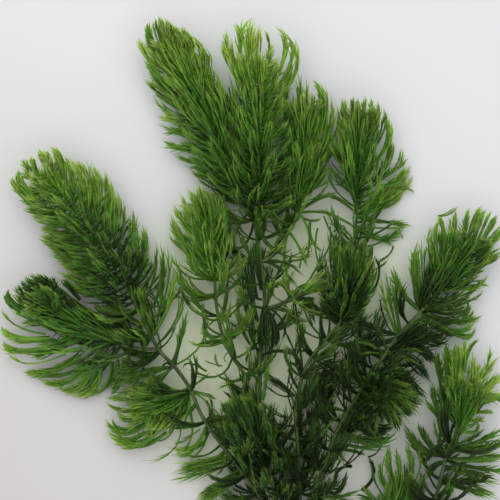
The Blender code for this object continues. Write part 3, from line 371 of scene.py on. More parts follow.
        (470, 258, 492, 242, 508, 222, 9, 0.3, -1), (462, 268, 486, 262, 508, 246, 9, 0.35, -2),
        (456, 276, 474, 272, 486, 266, 6, 0.4, -2), (450, 286, 474, 288, 491, 273, 6, 0.35, -3),
        (448, 290, 476, 284, 491, 287, 4, 0.35, -3), (446, 296, 470, 301, 486, 290, 8, 0.3, -3),
        (442, 300, 466, 314, 468, 294, 8, 0.5, -3), (426, 312, 460, 322, 485, 314, 5, 0.4, -3),
        (452, 317, 462, 316, 467, 309, 2, 0.4, -3), (462, 319, 470, 317, 475, 309, 2, 0.4, -3),
        (426, 314, 456, 332, 478, 321, 6, 0.35, -3), (428, 316, 464, 338, 477, 326, 7, 0.3, -3),
        (420, 318, 444, 330, 458, 335, 8, 0.5, -3), (424, 316, 442, 322, 456, 320, 6, 0.6, -2),
        # from here, the locks of age 0.85 to 1 in the tangle are painted near black: partly old wet leaves,
        # partly painted shade
        (400, 336, 426, 340, 452, 346, 8, 0.9, -2), (398, 338, 422, 350, 440, 366, 8, 1, -2),
        (392, 346, 414, 362, 434, 386, 9, 1, -2), (388, 352, 404, 376, 430, 400, 9, 1, -3),
        (386, 354, 396, 374, 396, 396, 8, 1, -2), (398, 334, 376, 330, 352, 316, 8, 0.9, -1),
        (396, 338, 374, 344, 352, 340, 8, 1, -1), (386, 352, 366, 352, 346, 356, 8, 1, -1),
        (366, 385, 384, 392, 402, 414, 8, 1, 2), (366, 385, 392, 386, 422, 402, 9, 0.85, 2),
        (368, 384, 396, 392, 420, 410, 8, 0.95, 2), (370, 386, 398, 398, 416, 416, 7, 0.95, 2),
        (364, 388, 376, 404, 382, 426, 5, 0.95, 2), (362, 388, 364, 410, 368, 434, 5, 1, 2),
        (352, 404, 374, 428, 398, 424, 9, 1, 0), (348, 410, 366, 432, 392, 438, 9, 1, 0),
        (340, 428, 366, 440, 394, 432, 8, 0.6, 0), (335, 441, 372, 448, 398, 430, 5, 0.5, 0),
        (334, 448, 352, 452, 368, 457, 3, 0.6, -1), (368, 457, 378, 452, 383, 438, 1, 0.85, -1),
        (362, 491, 374, 476, 368, 457, 2, 0.85, -3), (334, 448, 344, 460, 352, 467, 2, 0.7, -2),
        (352, 467, 342, 470, 334, 480, 2, 0.95, -3), (326, 486, 338, 488, 346, 482, 6, 0.9, 1),
        (326, 488, 336, 480, 334, 466, 5, 0.9, 1), (328, 492, 340, 492, 348, 470, 4, 0.9, 1),
        (312, 494, 338, 498, 366, 488, 6, 0.5, 0), (366, 384, 360, 376, 348, 366, 6, 1, 1),
        (372, 388, 400, 400, 425, 391, 9, 1, 1), (372, 390, 396, 406, 412, 417, 9, 1, 1),
        (368, 392, 388, 412, 404, 427, 9, 1, 1), (376, 386, 402, 396, 424, 402, 8, 1, 2),
        (372, 392, 392, 414, 400, 433, 8, 1, 0), (398, 336, 424, 334, 448, 340, 6, 0.8, -1),
    ],
    "low_right": [
        (456, 392, 462, 360, 464, 336, 8, 0.15, 0), (464, 372, 468, 350, 479, 337, 5, 0.3, 0),
        (462, 410, 472, 380, 472, 350, 9, 0.15, -1), (450, 400, 448, 366, 446, 342, 8, 0.6, 0),
        (454, 400, 454, 364, 456, 340, 8, 0.4, 1), (446, 412, 440, 376, 436, 348, 8, 0.7, -1),
        (468, 402, 486, 372, 491, 343, 3, 0.35, -3), (473, 394, 476, 376, 481, 362, 3, 0.2, -2),
        (466, 416, 478, 384, 502, 354, 8, 0.15, -2), (468, 414, 486, 390, 508, 372, 7, 0.15, -2),
        (464, 420, 482, 400, 512, 396, 10, 0.15, -2), (466, 416, 484, 412, 495, 414, 4, 0.2, -2),
        (462, 420, 476, 420, 487, 421, 4, 0.2, -2), (458, 430, 476, 432, 478, 420, 7, 0.3, -2),
        (450, 436, 440, 416, 424, 398, 8, 0.6, -1), (446, 430, 438, 404, 432, 380, 7, 0.65, -1),
        (448, 448, 438, 438, 434, 418, 4, 0.55, -1), (446, 452, 428, 444, 418, 422, 4, 0.55, -2),
        (444, 452, 432, 444, 424, 428, 3, 0.55, -2), (446, 454, 422, 450, 403, 424, 8, 0.65, -2),
        (448, 452, 440, 446, 440, 430, 5, 0.75, 0), (452, 446, 478, 444, 508, 426, 5, 0.65, -2),
        (452, 448, 482, 452, 512, 438, 9, 0.55, -2), (448, 458, 480, 462, 512, 456, 9, 0.55, -2),
        (444, 466, 474, 478, 506, 486, 9, 0.55, -2), (440, 482, 470, 490, 502, 502, 9, 0.65, -2),
        (442, 470, 466, 462, 480, 446, 7, 0.65, 0), (438, 486, 450, 474, 458, 456, 6, 0.65, 0),
        (444, 460, 462, 468, 480, 484, 7, 0.65, 0), (438, 490, 428, 474, 426, 452, 6, 0.75, -1),
        (432, 500, 446, 490, 452, 478, 7, 0.75, 0), (436, 498, 424, 486, 420, 468, 5, 0.65, -1),
        (444, 440, 432, 452, 424, 466, 7, 0.8, 0), (446, 462, 434, 466, 426, 480, 7, 0.8, 0),
        (450, 462, 484, 470, 512, 472, 7, 0.6, -2), (462, 418, 486, 400, 512, 404, 6, 0.3, -2),
    ],
    "small_right": [
        (397, 492, 388, 468, 389, 443, 8, 0.4, 0), (400, 490, 399, 466, 396, 445, 6, 0.35, 0),
        (404, 490, 412, 466, 404, 441, 8, 0.35, 0), (408, 492, 420, 468, 417, 448, 7, 0.45, -1),
        (394, 496, 382, 478, 386, 452, 3, 0.4, -1), (394, 500, 384, 482, 377, 461, 5, 0.3, -1),
        (390, 502, 378, 488, 372, 469, 5, 0.4, -1), (386, 510, 372, 498, 360, 484, 6, 0.4, -1),
        (386, 514, 374, 502, 352, 496, 6, 0.6, -1),
    ],
    "short_left": [
        (150, 420, 124, 432, 104, 420, 5, 0.3, -2), (138, 426, 118, 428, 112, 418, 2, 0.4, -2),
        (154, 426, 126, 440, 105, 430, 7, 0.25, -3), (160, 430, 132, 446, 107, 436, 8, 0.25, -3),
        (166, 432, 148, 446, 128, 445, 8, 0.3, -3), (150, 400, 126, 398, 103, 398, 7, 0.4, -1),
        (150, 404, 126, 412, 104, 403, 5, 0.4, -2), (146, 410, 128, 420, 116, 412, 6, 0.3, -2),
        (172, 404, 150, 416, 128, 422, 8, 0.35, 0), (176, 410, 158, 428, 140, 436, 8, 0.35, -1),
    ],
    "bottom_centre": [
        (262, 452, 238, 424, 220, 400, 8, 0.8, 0), (264, 452, 246, 418, 232, 386, 8, 0.8, 1),
        (262, 450, 254, 418, 246, 388, 8, 0.7, 1), (266, 456, 266, 428, 258, 398, 7, 0.6, 0),
        (246, 440, 230, 430, 208, 414, 7, 0.9, -4), (250, 450, 228, 444, 206, 424, 7, 0.9, -5),
        (236, 410, 232, 396, 222, 388, 4, 1, 0), (240, 404, 244, 388, 246, 372, 3, 0.6, 0),
    ],
    "centre_right": [
        (340, 310, 322, 280, 326, 242, 8, 0.8, -1), (344, 300, 334, 266, 336, 238, 8, 0.7, 1),
        (350, 296, 348, 262, 350, 234, 8, 0.7, 2), (354, 296, 362, 262, 360, 236, 8, 0.8, 1),
        (350, 320, 332, 304, 318, 270, 7, 0.8, -2), (352, 316, 366, 290, 368, 262, 8, 0.9, 0),
        (336, 300, 324, 290, 316, 274, 4, 0.7, -2), (346, 326, 332, 318, 320, 300, 6, 0.8, -2),
    ],
    "dark_right": [
    ],
    "side": [
        (300, 294, 312, 276, 324, 258, 6, 0.4, 0), (298, 296, 316, 290, 334, 286, 5, 0.5, 0),
        (290, 298, 280, 284, 268, 288, 3, 0.6, 0), (290, 299, 300, 286, 316, 284, 4, 0.4, 1),
        (294, 296, 296, 314, 300, 330, 6, 0.7, -1), (298, 294, 308, 308, 316, 326, 7, 0.8, -1),
        (290, 298, 286, 276, 288, 262, 4, 0.5, 0), (294, 297, 306, 300, 316, 300, 5, 0.8, 0),
    ],
}

# Thin or short strands that spring from one place, in pixels: where from, and a tip for each of them
# bow: how far their middles stand off the straight line, as a share of its length; lift as in the locks
sprays = {
    "bow": 0.12,
    "low_left": [
        {"from": (54, 304), "leaves": 6, "age": 0.9, "lift": 5, "fine": 1.0,
         "tips": [(20, 285), (26, 279), (32, 275), (38, 273), (45, 272), (52, 275), (58, 280), (63, 287),
                  (67, 294), (70, 302)]},
        {"from": (58, 314), "leaves": 5, "age": 0.6, "lift": 7, "fine": 1.0,
         "tips": [(28, 291), (34, 286), (42, 282), (50, 284), (57, 290), (61, 298)]},
    ],
    "right": [
        {"from": (367, 386), "leaves": 2, "age": 0.6, "lift": 9, "fine": 0.55,
         "tips": [(391, 434), (371, 434), (407, 422), (418, 414), (424, 402), (398, 428), (412, 384)]},
        {"from": (363, 387), "leaves": 2, "age": 0.55, "lift": 3, "fine": 0.55,
         "tips": [(352, 430), (326, 402), (322, 388), (330, 372), (340, 358), (404, 366)]},
        {"from": (385, 355), "leaves": 2, "age": 0.55, "lift": 3, "fine": 0.55,
         "tips": [(352, 342), (352, 356), (372, 322), (420, 366), (424, 352)]},
        {"from": (347, 413), "leaves": 2, "age": 0.6, "lift": 2, "fine": 0.55,
         "tips": [(312, 410), (322, 436), (376, 440), (354, 446)]},
        {"from": (332, 441), "leaves": 2, "age": 0.65, "lift": 2, "fine": 0.55,
         "tips": [(306, 428), (366, 444), (302, 450), (344, 470)]},
    ],
}

# Where the photograph shows the bare surface between the leaves: x, y, radius in pixels
clearings = [
    (156, 232, 10), (176, 250, 5), (198, 281, 6), (217, 246, 3), (237, 241, 4), (236, 277, 4),
    (221, 302, 3), (233, 293, 3), (245, 290, 3), (233, 320, 5), (214, 306, 3), (174, 302, 4),
    (166, 296, 4), (168, 322, 6), (195, 318, 6), (191, 334, 6), (184, 350, 4), (206, 352, 6),
    (222, 352, 5), (210, 362, 4), (236, 341, 4), (243, 359, 6), (255, 353, 3), (186, 359, 4),
    (166, 347, 6), (170, 380, 7), (184, 373, 5), (199, 374, 4), (216, 382, 8), (207, 388, 6),
    (232, 371, 6), (277, 367, 9), (281, 296, 4), (271, 303, 3), (279, 317, 5), (287, 331, 5),
    (292, 340, 5), (309, 333, 6), (297, 281, 5), (297, 262, 6), (301, 225, 7), (303, 240, 6),
    (291, 243, 4), (317, 225, 5), (313, 271, 4), (273, 243, 4), (160, 470, 10), (164, 490, 12),
    (190, 492, 9), (156, 447, 5), (176, 432, 4), (174, 444, 4), (190, 438, 5), (195, 414, 4),
    (205, 449, 5), (216, 454, 4), (202, 475, 4), (222, 473, 3), (279, 420, 5), (273, 392, 6),
    (284, 398, 5), (266, 386, 3), (287, 381, 4), (206, 404, 3), (316, 206, 5), (329, 226, 4),
    (314, 194, 3), (337, 203, 4), (350, 197, 4), (347, 211, 4), (345, 228, 3), (323, 246, 3),
    (381, 251, 7), (377, 239, 3), (397, 245, 7), (400, 262, 10), (381, 272, 4), (385, 297, 3),
    (407, 280, 6), (384, 225, 3), (390, 212, 5), (427, 256, 4), (422, 275, 3), (444, 222, 3),
    (374, 308, 4), (396, 313, 3), (408, 305, 3), (326, 322, 4), (304, 314, 4), (446, 296, 3),
    (423, 415, 8), (414, 424, 5), (430, 426, 5), (358, 465, 8), (355, 480, 7), (350, 446, 4),
    (366, 449, 4), (345, 458, 5), (379, 456, 5), (400, 442, 4), (376, 484, 4), (385, 476, 3),
    (434, 484, 4), (419, 475, 3), (417, 460, 3), (450, 425, 4), (467, 435, 4), (478, 431, 4),
    (482, 443, 3), (490, 467, 4), (454, 463, 3), (461, 464, 3), (487, 408, 4), (492, 420, 6),
    (484, 483, 3), (449, 497, 4), (5, 310, 5), (18, 314, 3), (26, 319, 3), (32, 334, 3), (41, 332, 3),
    (12, 342, 3), (29, 366, 4), (44, 361, 3), (61, 361, 3), (66, 356, 3), (84, 353, 3), (112, 365, 3),
    (104, 395, 5), (113, 403, 3),
]


def fromPixels(x, y):
    # A place in the photograph, as a place on the surface in metres
    middleX, middleY = photo["middle"]
    return np.array([(x - middleX) * photo["pixel"], (middleY - y) * photo["pixel"]])


def smoothLine(points, finePerSpan=12):
    # A smooth curve through the points of a route, in metres, and how far along it each point lies
    through = [np.append(fromPixels(x, y), z * mm) for x, y, z in points]
    ends = [2 * through[0] - through[1]] + through + [2 * through[-1] - through[-2]]
    line = []
    for a, b, c, d in zip(ends, ends[1:], ends[2:], ends[3:]):
        for step in range(finePerSpan):
            t = step / finePerSpan
            line.append(0.5 * (2 * b + (c - a) * t + (2 * a - 5 * b + 4 * c - d) * t * t
                               + (3 * b - a - 3 * c + d) * t ** 3))
    line.append(through[-1])
    line = np.array(line)
    along = np.concatenate([[0.0], np.cumsum(np.linalg.norm(np.diff(line, axis=0), axis=1))])
    return line, along


def placeOn(route, distance):
    # The point this far along a route
    line, along = route
    return np.stack([np.interp(distance, along, line[:, axis]) for axis in range(3)], axis=-1)


def headingOn(route, distance, around=2 * mm):
    # The way a route runs there, taken over a short stretch
    near = placeOn(route, np.maximum(distance - around, 0))
    far = placeOn(route, np.minimum(distance + around, route[1][-1]))
    return (far - near) / np.linalg.norm(far - near, axis=-1, keepdims=True)


routes = {name: smoothLine(branch["route"]) for name, branch in branches.items()}

# Leaf shapes, each made once at its usual length and then bent along the place it grows in
leafShapes = {
    "length": 18.0,  # mm
    "width": 0.88,  # mm at the root
    "taper": 0.4,  # how much of it is lost along the leaf, before the point
    "flat": 0.62,  # thickness as a share of the width
    "point": 0.25,  # how much more of the width goes just before the tip
    "pointPower": 4,
    "curl": 1.4,  # how late a prong turns outward
    "sides": 3,
    # spine and prongs: start along, start across, end along, end across, width, sections
    "brush": [
        (0.0, 0.0, 1.0, 0.0, 1.1, 6),
        (0.50, 0.0, 0.86, 0.045, 0.9, 3),
        (0.66, 0.0, 0.93, -0.04, 0.85, 2)],
    "fork": [
        (0.0, 0.0, 0.97, -0.10, 1.15, 6),
        (0.36, -0.01, 0.98, 0.13, 1.0, 5),
        (0.66, -0.05, 0.99, -0.01, 0.8, 3),
        (0.66, 0.07, 0.92, 0.19, 0.8, 2)],
    "comb": [
        (0.0, 0.0, 1.0, 0.0, 1.3, 7),
        (0.42, 0.0, 0.68, 0.09, 0.85, 2),
        (0.58, 0.0, 0.83, 0.09, 0.85, 2),
        (0.74, 0.0, 0.95, 0.06, 0.8, 2),
        (0.54, 0.0, 0.76, -0.07, 0.8, 2)],
    "blade": [
        (0.0, 0.0, 1.0, 0.0, 2.0, 8),
        (0.28, 0.0, 0.66, 0.075, 1.2, 3),
        (0.46, 0.0, 0.80, 0.085, 1.1, 3),
        (0.62, 0.0, 0.93, 0.07, 1.0, 3),
        (0.38, 0.0, 0.72, -0.07, 1.1, 3),
        (0.58, 0.0, 0.88, -0.065, 1.0, 3)],
}


def makeSpike(bm, centres, spike, length, width):
    # A three-sided thread: a small ring, its cap drawn on ring by ring, and a point at the end
    startAlong, startAcross, endAlong, endAcross, share, sections = spike
    ring = bmesh.ops.create_circle(bm, cap_ends=True, segments=leafShapes["sides"], radius=1.0)["verts"]
    cap = ring[0].link_faces[0]
    turn = Matrix.Rotation(math.radians(-90), 4, "X")
    before = None
    for number in range(sections):
        t = number / sections
        along = (startAlong + (endAlong - startAlong) * t) * length
        across = (startAcross + (endAcross - startAcross) * t ** leafShapes["curl"]) * length
        lost = leafShapes["taper"] * t + leafShapes["point"] * t ** leafShapes["pointPower"]
        half = width * share / 2 * (1 - lost)
        section = Matrix.Diagonal((half, 1, half * leafShapes["flat"], 1))
        shape = Matrix.Translation((across, along, 0)) @ section @ turn
        if before is None:
            bmesh.ops.transform(bm, matrix=shape, verts=cap.verts)
        else:
            cap = bmesh.ops.extrude_discrete_faces(bm, faces=[cap])["faces"][0]
            bmesh.ops.transform(bm, matrix=shape @ before.inverted(), verts=cap.verts)
        before = shape
        for vert in cap.verts:
            vert[centres] = (across, along, 0)
    tip = bmesh.ops.poke(bm, faces=[cap])["verts"][0]
    tip.co = (endAcross * length, endAlong * length, 0)
    tip[centres] = tip.co


def makeLeafShape(kind):
    # The points and faces of one leaf, and for each point the middle of the thread that it belongs to
    bm = bmesh.new()
    centres = bm.verts.layers.float_vector.new("centre")
    length = leafShapes["length"] * mm
    for spike in leafShapes[kind]:
        makeSpike(bm, centres, spike, length, leafShapes["width"] * mm)
    bmesh.ops.triangulate(bm, faces=bm.faces[:])
    bmesh.ops.recalc_face_normals(bm, faces=bm.faces[:])
    bm.verts.ensure_lookup_table()
    centre = np.array([vert[centres][:] for vert in bm.verts])
    shape = {
        "centre": centre,
        "offset": np.array([vert.co[:] for vert in bm.verts]) - centre,
        "faces": np.array([[vert.index for vert in face.verts] for face in bm.faces]),
    }
    bm.free()
    return shape


shapes = {kind: makeLeafShape(kind) for kind in ("brush", "fork", "comb", "blade")}
print("leaf shapes:", {kind: len(shape["faces"]) for kind, shape in shapes.items()})

# How leaves bend, hang and lie
leafGrowth = {
    "steps": 14,  # points on each leaf's bent middle line
    "floor": 0.35 * mm,  # the lowest a leaf's middle may lie
    "skin": 0.02 * mm,  # and the lowest that any of its points may
    "sag": 2.2 * mm,  # how far the tip of a leaf of the usual length hangs
    "wave": 0.35 * mm,  # small bends of a soft wet leaf
    "waves": 5,  # radians of such a bend from root to tip
    "phases": (0, 6),  # radians
    "gather": 1.5,  # how late along a leaf it is drawn to the tip of its lock
    "settled": 0.6,  # how much of its height in the pile a leaf loses by its tip
    "uneven": 0.16,  # radians by which leaves stray round a whorl
    "oldest": 1.5,  # the greatest age, in the same measure as the ages of the branches
    "clearBy": -0.1 * mm,  # how far a leaf's middle stays off a clearing: it may reach in by a hair
    "downShare": 0.5,  # leaves pointing down are spread sideways by the surface
    "upShare": 0.85,
}


def bendLeaves(leaves, chance):
    # Every leaf is bent from its first angle to its last, then drawn towards the tip of its lock
    count, steps = len(leaves["length"]), leafGrowth["steps"]
    t = np.linspace(0, 1, steps)
    first, last = leaves["firstAngle"][:, None], leaves["lastAngle"][:, None]
    angle = first + (last - first) * t[None, :] ** leaves["bendPower"][:, None]
    tangent = (np.cos(angle)[..., None] * leaves["forward"][:, None, :]
               + np.sin(angle)[..., None] * leaves["outward"][:, None, :])
    run = leaves["length"][:, None, None] / (steps - 1)
    middles = (tangent[:, 1:] + tangent[:, :-1]) / 2
    curve = np.concatenate([np.zeros((count, 1, 3)), np.cumsum(middles * run, axis=1)], axis=1)
    curve += leaves["root"][:, None, :]
    # leaves of one lock share its tip
    locks, lockOf = np.unique(leaves["lock"], return_inverse=True)
    tips = np.zeros((len(locks), 3))
    np.add.at(tips, lockOf, curve[:, -1])
    tips /= np.bincount(lockOf)[:, None]
    tips += chance.normal(0, 1, tips.shape) * leaves["lockSpread"]
    wave = chance.normal(0, leafGrowth["wave"], (count, 3))[:, None, :]
    phase = chance.uniform(*leafGrowth["phases"], count)[:, None, None]
    curve += wave * np.sin(phase + leafGrowth["waves"] * t[None, :, None]) * t[None, :, None]
    pull = (tips[lockOf] - curve[:, -1])[:, None, :] * leaves["clump"][:, None, None]
    curve += pull * (t[None, :, None] ** leafGrowth["gather"])
    usual = leaves["length"][:, None] / (leafShapes["length"] * mm)
    curve[..., 2] -= leafGrowth["sag"] * (t[None, :] ** 2) * usual ** 2
    lowest = leafGrowth["floor"] + leaves["pile"][:, None] * (1 - leafGrowth["settled"] * t[None, :])
    curve[..., 2] = np.maximum(curve[..., 2], lowest)
    return curve


def dressLeaves(curve, leaves, shape):
    # Lays a copy of the leaf shape along each middle line
    count, steps = curve.shape[:2]
    scale = (leaves["length"] / (leafShapes["length"] * mm))[:, None]
    centre, offset = shape["centre"], shape["offset"]
    t = np.clip(centre[:, 1] / (leafShapes["length"] * mm), 0, 1) * (steps - 1)
    low = np.minimum(t.astype(int), steps - 2)
    part = (t - low)[None, :, None]
    middle = curve[:, low] * (1 - part) + curve[:, low + 1] * part
    heading = np.gradient(curve, axis=1)
    heading /= np.maximum(np.linalg.norm(heading, axis=2, keepdims=True), 1e-9)
    heading = heading[:, low] * (1 - part) + heading[:, low + 1] * part
    across = np.cross(leaves["outward"], leaves["forward"])[:, None, :]
    inPlane = np.cross(across, heading)
    inPlane /= np.maximum(np.linalg.norm(inPlane, axis=2, keepdims=True), 1e-9)
    binormal = np.cross(heading, inPlane)
    roll = leaves["roll"][:, None, None]
    side = inPlane * np.cos(roll) + binormal * np.sin(roll)
    normal = binormal * np.cos(roll) - inPlane * np.sin(roll)
    spread = leaves["spread"][:, None]
    middle = middle + side * (centre[None, :, 0] * scale * spread)[..., None]
    middle[..., 2] = np.maximum(middle[..., 2], leafGrowth["floor"])
    thick = scale * leaves["thick"][:, None]
    points = (middle + side * (offset[None, :, 0] * thick)[..., None]
              + normal * (offset[None, :, 2] * thick)[..., None])
    points[..., 2] = np.maximum(points[..., 2], leafGrowth["skin"])
    along = np.repeat((centre[None, :, 1] / (leafShapes["length"] * mm)), count, axis=0)
    age = np.repeat(leaves["age"][:, None], len(centre), axis=1)
    tone = np.repeat(leaves["tone"][:, None], len(centre), axis=1)
    faces = shape["faces"][None] + (np.arange(count) * len(centre))[:, None, None]
    return points.reshape(-1, 3), faces.reshape(-1, 3), along.ravel(), age.ravel(), tone.ravel()


def joinMesh(name, parts):
    # One mesh from all the leaves of a piece, with what its material reads on every point
    points, faces, starts = [], [], 0
    for part in parts:
        points.append(part[0])
        faces.append(part[1] + starts)
        starts += len(part[0])
    mesh = bpy.data.meshes.new(name)
    mesh.from_pydata(np.concatenate(points).tolist(), [], np.concatenate(faces).tolist())
    for number, attribute in enumerate(("alongLeaf", "leafAge", "leafTone")):
        values = np.concatenate([part[2 + number] for part in parts]).astype(np.float32)
        mesh.attributes.new(attribute, "FLOAT", "POINT").data.foreach_set("value", values)
    mesh.polygons.foreach_set("use_smooth", np.ones(len(mesh.polygons), bool))
    piece = bpy.data.objects.new(name, mesh)
    bpy.context.scene.collection.objects.link(piece)
    return piece


def whorlLeaves(route, distance, count, chance, twist):
    # Roots and directions of one whorl's leaves
    place = placeOn(route, distance)
    forward = headingOn(route, distance)
    side = np.cross(forward, (0, 0, 1.0))
    side /= np.linalg.norm(side)
    up = np.cross(side, forward)
    azimuth = twist + np.arange(count) * math.tau / count + chance.normal(0, leafGrowth["uneven"], count)
    rise = np.sin(azimuth)
    rise = np.where(rise < 0, rise * leafGrowth["downShare"], rise * leafGrowth["upShare"])
    outward = np.cos(azimuth)[:, None] * side[None] + rise[:, None] * up[None]
    outward /= np.linalg.norm(outward, axis=1, keepdims=True)
    return place, forward, outward, azimuth


def pack(rows):
    # One row of leaves after another, as one long array for each thing that a leaf has
    keys = rows[0].keys()
    return {key: np.concatenate([row[key] for row in rows]) if np.ndim(rows[0][key]) else rows[0][key]
            for key in keys}


# The leafy brush at a branch's end
brushes = {
    "leaves": 12,  # in each whorl
    "firstLeaves": 8,  # and in those near the growing point
    "firstStretch": 4 * mm,  # how far those go
    "narrowStretch": 6 * mm,  # and how far leaves have their prongs drawn in
    "narrow": 0.7,  # to this share of their usual spread
    "footGap": 1 * mm,  # bare stem left at the foot where the brush is as long as the branch
    "turn": 2.4,  # radians from whorl to whorl
    "lengthens": 12 * mm,  # how fast the leaves get longer
    "aging": (0.5, 28 * mm),  # how much older they get down the brush, and how fast
    "youngTips": 0.2,  # how much younger than the branch's age they start
    "budHeight": 8 * mm,  # from the growing point to the brush's tip
    "closest": 0.7 * mm,  # whorl spacing at the growing point
    "widest": 2.1 * mm,  # and well below it
    "opens": 14 * mm,  # how fast the spacing grows
    "thinShare": 0.4,  # of its leaves where a brush thins out
    "shortest": 8 * mm,
    "longest": 22 * mm,
    "bend": 27,  # degrees that a leaf bends forward to each side of its mean angle
    "angles": (8, 74),  # the least and greatest mean angle from the stem
    "lockAlong": 6.0 * mm,
    "lockAround": 10,
    "lockSize": (0.86, 1.14),
    "lockAge": 0.07,  # how much locks differ in age
    "lockKinds": 4000,  # how many sizes and ages of lock are drawn by lot
    "size": (0.85, 1.05),
    "least": 5 * mm,  # no leaf is shorter
    "angleRounds": 12,  # how often a leaf's angle is brought nearer to the brush's outline
    "shortenRounds": 40,  # and how often it is shortened, each time to this share
    "shorten": 0.96,
    "height": 0.85,  # of the narrower side's half width, straight up or down from the stem
    "angleScatter": (0.07, 0.12),  # radians at root and tip
    "leanOver": (0.2, 0.3),  # radians by which leaves on top lie down, at root and tip
    "lockScatter": 0.15,  # of a lock's length along the stem
    "rootOut": 0.4,  # mm from the stem's middle
    "bendPower": (0.8, 1.4),
    "clump": 0.78,  # how closely leaves keep to their lock's tip
    "clumpRange": (0.6, 1.2),
    "lockSpread": 1.3 * mm,
    "roll": 0.6,
    "spread": (0.6, 1.25),
    "thick": (0.85, 1.2),
    "pile": (0, 2.5),  # mm above the lowest height
    "ageScatter": 0.04,
    "toneScatter": 0.12,
    "stepScatter": (0.85, 1.15),
    "shapes": {"brush": 0.9, "comb": 0.05, "fork": 0.05},
    "inside": 0.86,  # how far out the plain leaves go; the locks of the table stand out from them
}


def leafReach(branch, below, azimuth):
    # How far from the stem a leaf's tip may lie, this far below the brush's tip
    left, right = (np.array(branch[side]) for side in ("leftSide", "rightSide"))
    leftHalf = np.interp(below / mm, left[:, 0], left[:, 1])
    rightHalf = np.interp(below / mm, right[:, 0], right[:, 1])
    over = np.minimum(leftHalf, rightHalf) * brushes["height"]
    sideHalf = np.where(np.cos(azimuth) > 0, rightHalf, leftHalf)
    share = np.abs(np.cos(azimuth))
    return (sideHalf * share + over * (1 - share)) * mm


def chooseLeaves(leaves, chosen):
    # The same arrays with only the chosen leaves
    return {key: value[chosen] if np.ndim(value) else value for key, value in leaves.items()}


def clearOfGaps(curve, margin):
    # Which leaves keep off the clearings
    places = np.array([fromPixels(x, y) for x, y, _ in clearings])
    sizes = np.array([radius for _, _, radius in clearings]) * photo["pixel"]
    fine = np.concatenate([curve, (curve[:, 1:] + curve[:, :-1]) / 2], axis=1)[:, :, None, :2]
    away = np.linalg.norm(fine - places[None, None], axis=3) - sizes[None, None]
    return away.min(axis=(1, 2)) > margin


def dressMixed(curve, leaves, shares, chance):
    # Each leaf gets one of the shapes, by the shares given
    kind = chance.uniform(0, 1, len(curve))
    parts, low = [], 0.0
    for shape, share in shares.items():
        chosen = (kind >= low) & (kind < low + share)
        if chosen.any():
            parts.append(dressLeaves(curve[chosen], chooseLeaves(leaves, chosen), shapes[shape]))
        low += share
    return parts


